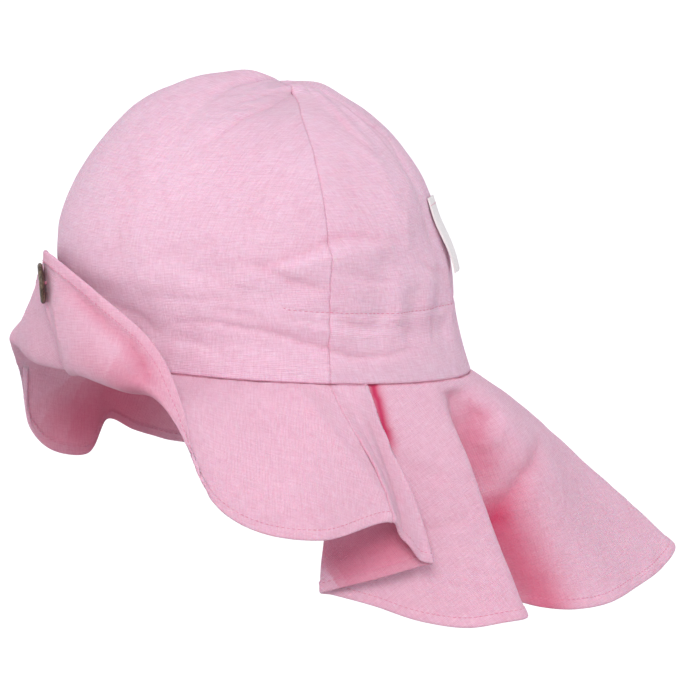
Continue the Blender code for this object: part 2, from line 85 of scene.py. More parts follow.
hat = {
    "seamWidth": 0.150,
    "seamFront": 0.089,
    "seamBack": 0.095,
    "seamSlopeDeg": 4.5,
    "crownHeight": 0.129,
    "brimDepth": 0.076,
    "flapLength": 0.150,
    "seamGap": 0.0003,
    "skirtCloth": 0.0010,
    "pleatGap": 0.0004,
    "gatherHeight": 0.0312,
    "gatherDepth": 0.0010,
    "gathers": 11,
}

# crown outline, one ring a row from the brim seam to the top, in shares of the sizes above
Ring = namedtuple("Ring", "frontOut frontHigh sideOut sideHigh backOut backHigh middle")
crownRings = [
    Ring(1, 0, 1, 0, 1, 0, 0),
    Ring(1.020, 0.097, 0.990, 0.115, 0.935, 0.145, 0),
    Ring(1.040, 0.245, 0.995, 0.242, 0.905, 0.245, 0),
    Ring(1.075, 0.347, 1.010, 0.357, 0.888, 0.380, 0),
    Ring(1.050, 0.500, 0.975, 0.504, 0.820, 0.530, 0),
    Ring(0.955, 0.656, 0.885, 0.651, 0.740, 0.672, 0),
    Ring(0.820, 0.788, 0.745, 0.790, 0.600, 0.795, 0),
    Ring(0.650, 0.912, 0.550, 0.888, 0.445, 0.890, 0.01),
    Ring(0.400, 0.995, 0.320, 0.935, 0.330, 0.945, 0.06),
    Ring(0.090, 1.018, 0.130, 0.955, 0.240, 0.965, 0.07),
    Ring(-0.080, 0.975, 0, 0.975, 0.080, 0.975, 0.075),
]

# soft folds of the crown: from and to in degrees round and in shares of the way up, then width and
# height as shares of the crown's height (a height below zero is a dent)
Fold = namedtuple("Fold", "fromDeg fromUp toDeg toUp width height")
crownFolds = [
    Fold(36, 0.55, 40, 0.93, 0.050, -0.012),
    Fold(60, 0.86, 105, 0.90, 0.050, 0.012),
    Fold(52, 0.33, 78, 0.27, 0.045, -0.014),
    Fold(66, 0.31, 112, 0.38, 0.035, 0.010),
    Fold(112, 0.33, 150, 0.40, 0.050, -0.010),
    Fold(30, 0.13, 74, 0.10, 0.035, -0.010),
    Fold(100, 0.14, 140, 0.12, 0.035, -0.010),
    Fold(122, 0.40, 118, 0.80, 0.050, 0.010),
    Fold(142, 0.38, 138, 0.82, 0.045, -0.010),
    Fold(-48, 0.35, -80, 0.29, 0.050, -0.012),
    Fold(-60, 0.80, -40, 0.50, 0.060, -0.010),
    Fold(-110, 0.36, -150, 0.30, 0.050, -0.012),
    Fold(-125, 0.45, -120, 0.82, 0.060, 0.010),
]

# brim and flap, one line of the cloth a row from the seam to the hem, in the cloth's own order: place
# round the seam, pleat layer, share of the way from brim depth to flap length, hem's place, the slopes
# at which the cloth leaves the seam and comes to the hem, and how far it keeps to them where that isn't
# a third of its length
columnNames = "seamDeg layer flap left back down leaveDeg headingDeg hemDeg leave arrive"
Line = namedtuple("Line", columnNames, defaults=(0.33, 0.33))
skirtLines = [
    Line(-90, 0, 0, -0.41, 0.30, 0.74, 38, 258, 70, 0.34),
    Line(-82, 0, 0, -0.46, 0.17, 0.71, 36, 262, 62, 0.34),
    Line(-75, 0, 0, -0.49, 0.06, 0.64, 34, 266, 55, 0.35, 0.32),
    Line(-70, 0, 0, -0.48, -0.03, 0.56, 30, 262, 55, 0.37),
    Line(-65, 0, 0, -0.56, -0.06, 0.78, 24, 262, 74, 0.35),
    Line(-59, 0, 0, -0.61, -0.16, 0.76, 18, 258, 80, 0.35),
    Line(-52, 0, 0, -0.62, -0.21, 0.62, 14, 235, 78, 0.37, 0.35),
    Line(-45, 0, 0, -0.54, -0.19, 0.32, 22, 195, 52, 0.37, 0.36),
    Line(-38, 0, 0, -0.42, -0.14, -0.02, 28, 180, 5, 0.38, 0.36),
    Line(-30, 0, 0, -0.26, -0.10, -0.28, 34, 170, -40, 0.40, 0.37),
    Line(-15, 0, 0, -0.17, -0.11, -0.48, 38, 175, -66, 0.40, 0.36),
    Line(-6, 0, 0, -0.08, -0.15, -0.61, 56, 172, -78, 0.34, 0.36),
    Line(0, 0, 0, 0, -0.225, -0.65, 72, 180, -88, 0.29, 0.34),
    Line(6, 0, 0, 0.10, -0.215, -0.605, 55, 185, -78, 0.34, 0.36),
    Line(15, 0, 0, 0.22, -0.15, -0.48, 22, 190, -66, 0.41, 0.38),
    Line(30, 0, 0, 0.38, -0.12, -0.29, 24, 195, -42, 0.42, 0.40),
    Line(38, 0, 0, 0.47, -0.15, -0.13, 26, 185, -10, 0.42, 0.40),
    Line(45, 0, 0, 0.55, -0.21, 0.10, 22, 165, 25, 0.40, 0.36),
    Line(54, 0, 0, 0.61, -0.33, 0.40, 14, 140, 62, 0.38, 0.34),
    Line(61, 0, 0, 0.61, -0.335, 0.65, 14, 115, 76, 0.36),
    Line(69, 0, 0, 0.59, -0.20, 0.80, 18, 100, 78, 0.36),
    Line(79, 0, 0, 0.56, -0.06, 0.84, 25, 95, 76, 0.35),
    Line(90, 0, 0, 0.37, 0.23, 0.78, 38, 105, 72, 0.34),
    Line(95, 2, 0.04, 0.30, 0.24, 0.86, 48, 112, 76),
    Line(99.5, 2, 0.13, 0.24, 0.24, 0.91, 56, 125, 80),
    Line(101.5, 1.5, 0.15, 0.23, 0.26, 0.91, 60, 130, 80),
    Line(100.3, 1, 0.15, 0.20, 0.235, 0.93, 62, 128, 80),
    Line(97, 1, 0.19, 0.11, 0.09, 0.965, 66, 95, 84),
    Line(93.5, 1, 0.24, 0.02, -0.025, 0.98, 70, 80, 87),
    Line(92.5, 0.5, 0.27, -0.01, -0.075, 0.98, 72, 80, 88),
    Line(93.8, 0, 0.29, -0.02, -0.03, 0.98, 74, 90, 88),
    Line(98, 0, 0.36, 0.035, 0.085, 0.98, 72, 120, 86),
    Line(104, 0, 0.47, 0.08, 0.18, 0.97, 70, 130, 82),
    Line(112, 0, 0.53, 0.13, 0.24, 0.955, 66, 130, 76),
    Line(120, 0, 0.55, 0.185, 0.285, 0.92, 60, 128, 67),
    Line(125, 0, 0.57, 0.19, 0.315, 0.90, 56, 130, 65),
    Line(129, 0, 0.58, 0.115, 0.30, 0.88, 60, 165, 66, 0.30),
    Line(134, 0, 0.60, -0.01, 0.26, 0.87, 72, 200, 72, 0.28),
    Line(139, 0, 0.60, -0.07, 0.27, 0.87, 70, 195, 70, 0.28),
    Line(145, 0, 0.61, 0.02, 0.32, 0.885, 50, 150, 70, 0.32),
    Line(151, 0, 0.65, 0.11, 0.385, 0.87, 36, 135, 68),
    Line(158, 0, 0.715, 0.125, 0.48, 0.83, 32, 145, 61),
    Line(166, 0, 0.81, 0.08, 0.575, 0.76, 31, 160, 53),
    Line(174, 0, 0.92, 0.015, 0.68, 0.68, 31, 175, 46),
    Line(181, 0, 1, -0.045, 0.74, 0.61, 31, 185, 42),
    Line(188, 0, 0.99, -0.11, 0.72, 0.61, 31, 190, 43),
    Line(196, 0, 0.865, -0.18, 0.65, 0.685, 34, 200, 48),
    Line(206, 0, 0.73, -0.205, 0.60, 0.75, 38, 205, 55),
    Line(218, 0, 0.62, -0.19, 0.56, 0.80, 44, 205, 58),
    Line(230, 0, 0.59, -0.165, 0.545, 0.815, 48, 205, 62),
    Line(240, 0, 0.55, -0.155, 0.525, 0.83, 52, 210, 64),
    Line(248, 0, 0.53, -0.125, 0.525, 0.835, 56, 210, 64),
    Line(256, 0, 0.47, -0.09, 0.54, 0.825, 58, 205, 62),
    Line(262, 0, 0.36, -0.045, 0.55, 0.82, 60, 195, 60),
    Line(266.2, 0, 0.29, 0, 0.545, 0.825, 62, 185, 60),
    Line(267.5, 0.5, 0.27, -0.01, 0.51, 0.84, 62, 185, 60),
    Line(266.5, 1, 0.25, -0.03, 0.525, 0.835, 60, 190, 60),
    Line(263, 1, 0.19, -0.12, 0.535, 0.82, 58, 205, 60),
    Line(259.7, 1, 0.15, -0.19, 0.525, 0.825, 54, 215, 60),
    Line(258.5, 1.5, 0.15, -0.22, 0.54, 0.81, 52, 220, 60),
    Line(260.5, 2, 0.13, -0.25, 0.52, 0.80, 50, 225, 62),
    Line(265, 2, 0.05, -0.32, 0.43, 0.79, 44, 240, 66),
]
sideSeams = (0, 22, len(skirtLines))  # rows where the brim begins, where it meets the flap, and round again


def cubic(start, end, leave, arrive, t):
    # from start to end as t goes from 0 to 1, with these slopes at its two ends
    first = start * (2 * t**3 - 3 * t**2 + 1) + leave * (t**3 - 2 * t**2 + t)
    return first + end * (3 * t**2 - 2 * t**3) + arrive * (t**3 - t**2)


def smoothThrough(values, at):
    # rows of values followed by a smooth curve, read at places counted in rows
    values = np.asarray(values, float)
    last = len(values) - 1
    row = np.clip(np.floor(at).astype(int), 0, last - 1)
    start, end = values[row], values[row + 1]
    leave = (end - values[np.maximum(row - 1, 0)]) / 2
    arrive = (values[np.minimum(row + 2, last)] - start) / 2
    return cubic(start, end, leave, arrive, (at - row)[:, None])


def unit(vectors):
    return vectors / np.maximum(np.linalg.norm(vectors, axis=-1, keepdims=True), 1e-12)


def lengthsAlong(points, axis):
    # metres from the first point to each of the others
    steps = np.linalg.norm(np.diff(points, axis=axis), axis=-1)
    return np.cumsum(np.insert(steps, 0, 0, axis=axis), axis=axis)


def readAlong(at, places, values):
    return np.stack([np.interp(at, places, column) for column in values.T], axis=-1)


def seamPoint(deg):
    turn = np.radians(deg)
    x = hat["seamWidth"] / 2 * np.sin(turn)
    y = -np.where(np.cos(turn) > 0, hat["seamFront"], hat["seamBack"]) * np.cos(turn)
    return np.stack([x, y, -y * math.tan(math.radians(hat["seamSlopeDeg"]))], axis=-1)


def seamOutward(deg):
    turn = np.radians(deg)
    reach = np.where(np.cos(turn) > 0, hat["seamFront"], hat["seamBack"])
    return unit(np.stack([reach * np.sin(turn), -hat["seamWidth"] / 2 * np.cos(turn), 0 * turn], axis=-1))


def foldHeight(deg, up):
    height = np.zeros_like(deg)
    girth, tall = hat["seamWidth"] / 2, hat["crownHeight"]
    for fold in crownFolds:
        start = np.array([math.radians(fold.fromDeg) * girth, fold.fromUp * tall])
        along = np.array([math.radians(fold.toDeg) * girth, fold.toUp * tall]) - start
        turn = (deg - fold.fromDeg + 180) % 360 - 180 + fold.fromDeg
        place = np.stack([np.radians(turn) * girth, up * tall], axis=-1) - start
        share = place @ along / (along @ along)
        across = np.linalg.norm(place - np.clip(share, 0, 1)[..., None] * along, axis=-1)
        height += fold.height * tall * np.exp(-((across / (fold.width * tall)) ** 2))
    return height


def gatherHeight(deg, rise):
    share = np.clip((np.cos(np.radians(deg - 180)) - 0.05) / 0.4, 0, 1)
    band = np.exp(-(((rise - hat["gatherHeight"]) / (0.45 * hat["gatherHeight"])) ** 2))
    return hat["gatherDepth"] * share * band * np.cos(np.radians(deg - 180) * 2 * hat["gathers"])


def crownPoint(deg, up):
    rings = smoothThrough(crownRings, up * (len(crownRings) - 1))
    frontOut, frontHigh, sideOut, sideHigh, backOut, backHigh, middle = rings.T
    turn = np.radians(deg)
    toFront = np.cos(turn) > 0
    middle = middle * hat["seamBack"]
    reach = np.where(toFront, frontOut * hat["seamFront"] + middle, backOut * hat["seamBack"] - middle)
    high = sideHigh + (np.where(toFront, frontHigh, backHigh) - sideHigh) * np.cos(turn) ** 2
    x, y = sideOut * hat["seamWidth"] / 2 * np.sin(turn), middle - reach * np.cos(turn)
    slopeRise = -y * math.tan(math.radians(hat["seamSlopeDeg"])) * (1 - up)
    point = np.stack([x, y, high * hat["crownHeight"] + slopeRise], axis=-1)
    # the folds fade out at the seam and at the top, where the cloth is pushed up and not outwards
    push = foldHeight(deg, up) * np.clip(up / 0.05, 0, 1) * np.clip((1 - up) / 0.06, 0, 1)
    push = push + gatherHeight(deg, high * hat["crownHeight"])
    slope = np.clip((up - 0.45) / 0.55, 0, 1)[:, None] * math.pi / 2
    away = seamOutward(deg) * np.cos(slope)
    away[:, 2] = np.sin(slope[:, 0])
    return point + push[:, None] * away


def skirtControls():
    rows = []
    for line in skirtLines:
        length = hat["brimDepth"] + line.flap * (hat["flapLength"] - hat["brimDepth"])
        hem = np.array([line.left, line.back, -line.down]) * length
        slope = math.radians(line.leaveDeg)
        leave = seamOutward(np.float64(line.seamDeg)) * math.cos(slope) - np.array([0, 0, math.sin(slope)])
        turn, slope = math.radians(line.headingDeg), math.radians(line.hemDeg)
        level = math.cos(slope)
        arrive = np.array([level * math.sin(turn), -level * math.cos(turn), -math.sin(slope)])
        first, second = leave * line.leave * length, hem - arrive * line.arrive * length
        rows.append(np.concatenate([[line.seamDeg, line.layer], first, second, hem]))
    return np.array(rows)


def skirtLinesAt(columns, firstRow, lastRow):
    # the table's numbers followed round the cloth by a smooth curve, and the row number at each place
    rows = skirtControls()
    count = len(rows)
    around = np.concatenate([rows[-2:], rows, rows[:3]])
    around[:2, 0] -= 360
    around[count + 2 :, 0] += 360
    steps = np.linalg.norm(np.diff(around[:, 2:], axis=0), axis=1) / hat["brimDepth"]
    places = np.concatenate([[0], np.cumsum(np.sqrt(steps))])
    slopes = np.zeros_like(around)
    ahead = np.diff(around, axis=0) / np.diff(places)[:, None]
    both = (around[2:] - around[:-2]) / (places[2:] - places[:-2])[:, None]
    slopes[1:-1] = ahead[1:] - both + ahead[:-1]
    at = np.interp(columns, [0, 1], [places[firstRow + 2], places[lastRow + 2]])
    row = np.clip(np.searchsorted(places, at, side="right") - 1, 1, len(places) - 3)
    width = (places[row + 1] - places[row])[:, None]
    t = (at - places[row])[:, None] / width
    found = cubic(around[row], around[row + 1], slopes[row] * width, slopes[row + 1] * width, t)
    return found, np.interp(at, places, np.arange(len(places)) - 2.0)


def skirtCurve(lines, downs):
    # points of the cloth's middle: a row of downs for each line, 0 at the seam and 1 at the hem.
    # A pleat's top layer lies level with the cloth beside it, and the layers beneath lie further in
    fromFront = np.abs((lines[:, 0] + 180) % 360 - 180)
    layer = lines[:, 1] - 2 * np.interp(fromFront, [90, 93.5, 100.5, 104], [0, 1, 1, 0])
    seam = seamPoint(lines[:, 0]) - np.array([0, 0, hat["seamGap"] + hat["skirtCloth"] / 2])
    seam = seam + seamOutward(lines[:, 0]) * layer[:, None] * (hat["skirtCloth"] + hat["pleatGap"])
    s = np.atleast_2d(downs)[:, :, None]
    first, second, hem = (lines[:, None, i : i + 3] for i in (2, 5, 8))
    return seam[:, None] + 3 * (1 - s) ** 2 * s * first + 3 * (1 - s) * s**2 * second + s**3 * hem


# finer cloth than the solids: rows and columns are crowded at seams and hems, all in metres

clothSettings = {
    "edgeColumns": (0, 0.0003, 0.0007, 0.0012, 0.0018, 0.0026),  # from a piece's two side edges
    "wall": 0.0009,  # one layer of linen, thread to thread
    "hemWall": 0.0017,  # the hem is three layers
    "hemWidth": 0.0052,
    "hemStitch": 0.0005,  # from the hem's inner edge to its stitches
    "hemFold": 0.0012,  # how far the hem's fold is round
    "hemPull": 0.00025,  # how deep the stitches draw it in, and the height of the puckers beside them
    "hemPucker": 0.00042,
    "seamRoll": 0.0008,  # how deep a sewn edge turns in
    "seamReach": 0.0010,  # how far from the edge that turn begins
    "pucker": 0.00035,  # height of the small puckers along a seam
    "seamColour": 0.28,  # painted shade: how much deeper the colour is down in a seam, and how near to it
    "seamColourReach": 0.0005,
    "foldColour": 0.2,  # painted shade, and in the deepest folds
    "allowance": 0.0050,  # what is left of the skirt's edge inside the crown
    "insideDepth": 0.05,  # painted shade: how much deeper the colour is on the inside, which lies in shade
}


def columnsWithEdges(count, length):
    # shares from 0 to 1, crowded within a few millimetres of both ends of this length
    near = np.array(clothSettings["edgeColumns"]) / length
    return np.concatenate([near, np.linspace(near[-1], 1 - near[-1], count)[1:-1], 1 - near[::-1]])


def gridNormals(points):
    return unit(np.cross(np.gradient(points, axis=1), np.gradient(points, axis=0)))


def seamTurn(distance):
    # how far in the cloth lies this far from a sewn edge
    share = np.clip(1 - distance / clothSettings["seamReach"], 0, 1)
    return -clothSettings["seamRoll"] * (1 - np.sqrt(1 - 0.98 * share**2))


def noiseOver(places, size, seed):
    # smooth noise over flat places, with lumps of about this size
    values = [noise.noise((u, v, seed)) for u, v in (places / size).reshape(-1, 2)]
    return np.array(values).reshape(places.shape[:-1])


def softLumps(flat, lumps):
    # the cloth's own unevenness: height, size and the noise's seed for each kind of lump
    return sum(height * noiseOver(flat, size, seed) for height, size, seed in lumps)


def seamPuckers(along, distance, seed):
    # short ridges square to a sewn edge that die out away from it
    wave = noiseOver(np.stack([along, distance * 0.3], axis=-1), 0.0046, seed)
    return clothSettings["pucker"] * wave * np.exp(-((distance / 0.007) ** 2))


def paintedSeamShade(distance):
    # painted shade: the colour is deepest down in the seam, where shade falls
    return clothSettings["seamColour"] * np.exp(-((distance / clothSettings["seamColourReach"]) ** 2))


def crease(width, height, *along, **more):
    # width and height in mm and the places that it runs through, on the cloth's own two axes. A step in
    # mm lets the side on its left stand higher. Depth and inside paint shade into the colour on the two sides
    return {"width": width, "height": height, "along": along, **more}


def creaseCloth(flat, firstAxis, secondAxis, creases):
    # what the creases add to the cloth's height, and the shade painted into them, outside and inside
    lift, depth = np.zeros(flat.shape[:-1]), np.zeros(flat.shape)
    for line in creases:
        added, near = creaseHeight(flat, firstAxis, secondAxis, line)
        outside = line.get("depth", 0)
        lift += added
        depth += np.multiply.outer(near, (outside, line.get("inside", outside)))
    # every dent gets painted shade as well, the deeper the darker
    return lift, depth + np.clip(-lift / 0.014, 0, clothSettings["foldColour"])[..., None]


def creaseHeight(flat, firstAxis, secondAxis, line):
    # what one crease adds to the cloth's height, and how near each place is to it, from 0 to 1
    corners = np.array(line["along"], float)
    shares = np.linspace(0, 1, 8 * (len(corners) - 1) + 1)
    way = readAlong(shares, np.linspace(0, 1, len(corners)), corners)
    inside = (way[:, 0] >= firstAxis[0, 0]) & (way[:, 0] <= firstAxis[-1, 0])
    if inside.sum() < 2:
        return 0, 0
    way, shares = way[inside], shares[inside]
    column = np.argmin(np.abs(firstAxis[:, :1] - way[:, 0]), axis=0)
    row = [int(np.argmin(np.abs(secondAxis[c] - w[1]))) for c, w in zip(column, way)]
    along = flat[column, row]
    best = np.full(flat.shape[:-1], 1e9)
    side, share = np.zeros_like(best), np.zeros_like(best)
    for number, (start, end) in enumerate(zip(along, along[1:])):
        length = max(np.linalg.norm(end - start), 1e-6)
        direction = (end - start) / length
        to = flat - start
        on = np.clip(to @ direction, 0, length)
        distance = np.linalg.norm(to - on[..., None] * direction, axis=-1)
        closer = distance < best
        best = np.where(closer, distance, best)
        side = np.where(closer, np.sign(direction[0] * to[..., 1] - direction[1] * to[..., 0]), side)
        share = np.where(closer, shares[number] + on / length * (shares[number + 1] - shares[number]), share)
    width = line["width"] / 1000
    first, last = line.get("ends", (1, 1))  # an end fades out at 1 and stops short at 0
    fade = np.clip(share / 0.3, 0, 1) ** (0.7 * first) * np.clip((1 - share) / 0.3, 0, 1) ** (0.7 * last)
    height = line["height"] / 1000 * np.exp(-((best / width) ** 1.4))
    step = line.get("step", 0) / 1000 * side * (1 - np.exp(-best / width)) * np.exp(-best / (4 * width))
    return (height + step) * fade, np.exp(-((best / width) ** 2)) * fade


def applyModifier(piece, kind, **settings):
    modifier = piece.modifiers.new(kind, kind)
    for key, value in settings.items():
        setattr(modifier, key, value)
    bpy.context.view_layer.objects.active = piece
    bpy.ops.object.modifier_apply(modifier=modifier.name)


def inEditMode(piece, operator, **settings):
    # works on all of the piece
    bpy.context.view_layer.objects.active = piece
    bpy.ops.object.mode_set(mode="EDIT")
    bpy.ops.mesh.select_all(action="SELECT")
    operator(**settings)
    bpy.ops.object.mode_set(mode="OBJECT")


def makeCloth(name, points, flat, walls, depth):
    # a grid of the points, with the flat cloth's metres as its UV map, given a wall and rounded edges
    columns, rows = points.shape[0] - 1, points.shape[1] - 1
    bpy.ops.mesh.primitive_grid_add(x_subdivisions=columns, y_subdivisions=rows, size=1)
    piece = bpy.context.object
    piece.name = piece.data.name = name
    mesh = piece.data
    co = np.empty(len(mesh.vertices) * 3)
    mesh.vertices.foreach_get("co", co)
    place = np.rint((co.reshape(-1, 3)[:, :2] + 0.5) * [columns, rows]).astype(int)
    mesh.vertices.foreach_set("co", points[place[:, 0], place[:, 1]].ravel())
    corner = np.empty(len(mesh.loops), dtype=int)
    mesh.loops.foreach_get("vertex_index", corner)
    uv = mesh.uv_layers[0]
    uv.name = "cloth"
    uv.data.foreach_set("uv", flat[place[corner, 0], place[corner, 1]].ravel())
    group = piece.vertex_groups.new(name="wall")
    thickest = float(walls.max())
    steps = 200  # the wall's thickness is set in so many steps
    levels = np.rint(walls[place[:, 0], place[:, 1]] / thickest * steps).astype(int)
    for level in np.unique(levels):
        group.add(np.flatnonzero(levels == level).tolist(), level / steps, "REPLACE")
    mesh.update()
    solid = {"thickness": thickest, "offset": 0, "vertex_group": "wall", "use_even_offset": False}
    applyModifier(piece, "SOLIDIFY", thickness_vertex_group=0, **solid)
    piece.vertex_groups.clear()
    paintShadeOnSides(piece, depth[place[:, 0], place[:, 1]], place[:, 1] == 0)
    piece.data.shade_smooth()
    bpy.ops.object.select_all(action="DESELECT")
    return piece


def paintShadeOnSides(piece, depth, firstRow):
    # painted shade on the cloth's two sides: the inner side, which lies in shade, is painted deeper
    mesh = piece.data
    co = np.empty(len(mesh.vertices) * 3)
    mesh.vertices.foreach_get("co", co)
    away = np.linalg.norm(co.reshape(2, -1, 3)[:, firstRow, :2], axis=-1).mean(axis=1)
    inside = int(np.argmin(away))
    sides = np.empty((2, len(depth)))
    sides[1 - inside], sides[inside] = depth.T
    # painted shade on the inner side
    sides[inside] += clothSettings["insideDepth"]
    deeper = mesh.attributes.new("depth", "FLOAT", "POINT")
    deeper.data.foreach_set("value", sides.ravel())


# stitches: one is modelled, then copied along a line on the cloth

stitchSettings = {
    "length": 0.0018,
    "pitch": 0.0025,
    "thick": 0.00036,
    "rise": 0.00002,  # its middle above the cloth
}


def modelStitch(settings):
    # a soft capsule, read as corners and faces, lying along x
    bpy.ops.mesh.primitive_uv_sphere_add(segments=6, ring_count=4, radius=0.5)
    stitch = bpy.context.object
    size = (settings["thick"], settings["thick"], settings["length"])
    inEditMode(stitch, bpy.ops.transform.resize, value=size)
    corners = np.array([(v.co.z, v.co.y, -v.co.x) for v in stitch.data.vertices])
    faces = [list(face.vertices) for face in stitch.data.polygons]
    bpy.data.objects.remove(stitch, do_unlink=True)
    return corners, faces


stitchCorners, stitchFaces = modelStitch(stitchSettings)


def stitchesAlong(name, rows, settings):
    # rows are lines of points with the cloth's outward direction at each, half a wall long
    corners, faces = [], []
    size = len(stitchCorners)
    for line, outward in rows:
        done = lengthsAlong(line, 0)
        count = max(int(done[-1] / settings["pitch"]), 1)
        middles = (np.arange(count) + 0.5) * done[-1] / count
        half = settings["length"] / 2
        start, place, end = (readAlong(middles + side, done, line) for side in (-half, 0, half))
        along = unit(end - start)
        stand = readAlong(middles, done, outward)
        up = unit(stand - (stand * along).sum(axis=1, keepdims=True) * along)
        place = place + stand + up * settings["rise"]
        frames = np.stack([along, np.cross(up, along), up], axis=1)
        first = sum(len(c) for c in corners)
        corners.append((place[:, None] + stitchCorners @ frames).reshape(-1, 3))
        starts = range(first, first + count * size, size)
        faces += [[at + corner for corner in face] for at in starts for face in stitchFaces]
    mesh = bpy.data.meshes.new(name)
    mesh.from_pydata(np.concatenate(corners).tolist(), [], faces)
    mesh.shade_smooth()
    piece = bpy.data.objects.new(name, mesh)
    scene.collection.objects.link(piece)
    return piece


# crown: two panels sewn together over the top

crownPanels = {
    "crownFrontLinen": {
        "node": "crown_front",
        "from": -90,
        "to": 90,
        "lean": -1,
        "cloth": {"flat": (0.270, 0.194), "area": 0.0360, "held": "draped"},
    },
    "crownBackLinen": {
        "node": "crown_back",
        "from": 90,
        "to": 270,
        "lean": 1,
        "cloth": {"flat": (0.269, 0.174), "area": 0.0334, "held": "gathered", "rests_on": ["crown_front"]},
    },
}
crownSettings = {
    "columns": 236,  # of each panel
    "rows": 158,
    "seamRows": (0, 0.0004, 0.0009, 0.0015, 0.0023),  # m from the brim's seam, where rows are crowded
    "girth": 0.26,  # m round a panel and up it, about: they share out the crowded columns and rows
    "height": 0.19,
    "lumps": ((0.00060, 0.024, 3.1), (0.00028, 0.010, 7.7)),
}
crownCreases = [
    # at the top: a ridge across the seam, then the creases that run from it down to the front and back
    crease(3.4, 1.7, (66, 0.83), (78, 0.86), (95, 0.872), (118, 0.875), (142, 0.855)),
    crease(1.8, -0.5, (78, 0.843), (70, 0.82), (65, 0.795), (59, 0.77), (57, 0.75)),
    crease(2.4, -1, (90, 0.853), (81, 0.81), (74, 0.76), (69, 0.73), (61, 0.69), (57, 0.655), (50, 0.61),
           (42, 0.59), step=-0.5, ends=(0, 1)),
    crease(2.6, -0.9, (124, 0.82), (115, 0.70), (116, 0.64), (121, 0.595), (128, 0.565)),
    crease(2.6, -0.9, (135, 0.74), (144, 0.65), (147, 0.60), (143, 0.545), (139, 0.50)),
    crease(3, 0.9, (132, 0.80), (131, 0.70), (134, 0.62), (137, 0.56)),
    crease(5, 0.8, (146, 0.54), (131, 0.49), (124, 0.43), (121, 0.34)),
    # the dents above the casing, beside the side seam
    crease(2.6, -1.9, (60, 0.338), (72, 0.340), (81, 0.362), (90, 0.390), (98, 0.405), (108, 0.396),
           (122, 0.378), step=-0.7),
    crease(3, 1, (74, 0.335), (84, 0.350), (92, 0.364), (104, 0.374)),
    crease(2.4, -1.4, (68, 0.335), (73, 0.325), (80, 0.297), (87, 0.278), (93, 0.262)),
    crease(2.4, 0.8, (62, 0.300), (70, 0.285), (76, 0.262)),
    crease(2.6, -0.8, (96, 0.330), (104, 0.300), (116, 0.292)),
    crease(2.8, -0.9, (126, 0.340), (134, 0.300), (146, 0.280)),
    crease(4, -0.6, (60, 0.40), (50, 0.36), (38, 0.35)),
    crease(6, -0.7, (74, 0.55), (70, 0.47), (67, 0.40)),
    crease(5, -0.8, (18, 0.62), (26, 0.50), (28, 0.40), (24, 0.30)),
    crease(5, -0.5, (104, 0.60), (103, 0.50), (105, 0.44)),
    # the casing: its front edge shows through, and the cloth sags and puckers below its stitching
    crease(1.5, -0.45, (38, 0.222), (46, 0.225), (58, 0.23), (68, 0.23), (76, 0.222), step=-0.35),
    crease(1.8, -0.9, (76, 0.190), (80, 0.184), (87, 0.172)),
    crease(2, -1.3, (91, 0.186), (96, 0.172), (103, 0.155), (110, 0.150)),
    crease(2.4, -1.9, (42, 0.155), (57, 0.163), (71, 0.148), (79, 0.132), (86, 0.112), (98, 0.080),
           (111, 0.084), (126, 0.098), step=-0.4),
    crease(2.8, 1.2, (76, 0.200), (85, 0.162), (94, 0.142), (105, 0.136), (122, 0.142)),
    crease(2.2, -0.9, (56, 0.205), (64, 0.196), (71, 0.180)),
    crease(2.4, -1, (44, 0.120), (54, 0.100), (63, 0.060)),
    crease(2, -1, (112, 0.175), (118, 0.150), (121, 0.115)),
    crease(2, -1, (128, 0.180), (134, 0.150), (133, 0.110)),
    crease(2.6, -0.9, (20, 0.190), (32, 0.165), (40, 0.125)),
    crease(3.4, 0.5, (30, 0.10), (45, 0.085), (60, 0.095), (74, 0.085)),
    # the far side, finished to match
    crease(4.2, -1.4, (-90, 0.34), (-75, 0.33), (-58, 0.36), (-42, 0.34)),
    crease(4, -1.2, (262, 0.36), (250, 0.35), (236, 0.38), (220, 0.36)),
    crease(3.4, -1.1, (-85, 0.13), (-68, 0.11), (-50, 0.13), (-35, 0.11)),
    crease(3.4, -1, (266, 0.13), (250, 0.10), (232, 0.11)),
    crease(2.8, -1, (-88, 0.80), (-70, 0.72), (-55, 0.66), (-45, 0.58)),
    crease(3, -0.9, (232, 0.78), (236, 0.66), (230, 0.56)),
    crease(4, -0.9, (200, 0.80), (196, 0.66), (203, 0.52), (198, 0.42)),
    crease(4, 0.8, (172, 0.76), (168, 0.62), (173, 0.50)),
]
casingSettings = {
    # where its stitches run: degrees round and share of the way up, from one side's end to the other's
    "stitches": [
        *((75.5, 0.225), (77.5, 0.211), (89, 0.205), (110, 0.197), (143, 0.198), (180, 0.20)),
        *((217, 0.198), (250, 0.197), (271, 0.205), (282.5, 0.211), (284.5, 0.225)),
    ],
    "shareHeight": 0.165,  # m of cloth to one share of the way up, here
    "groove": 0.0005,  # depth and reach of the line that the stitches press in
    "grooveReach": 0.0009,
    "pucker": 0.0009,
    "above": 0.0065,  # how far the puckers reach above the stitches and below them
    "below": 0.0085,
}


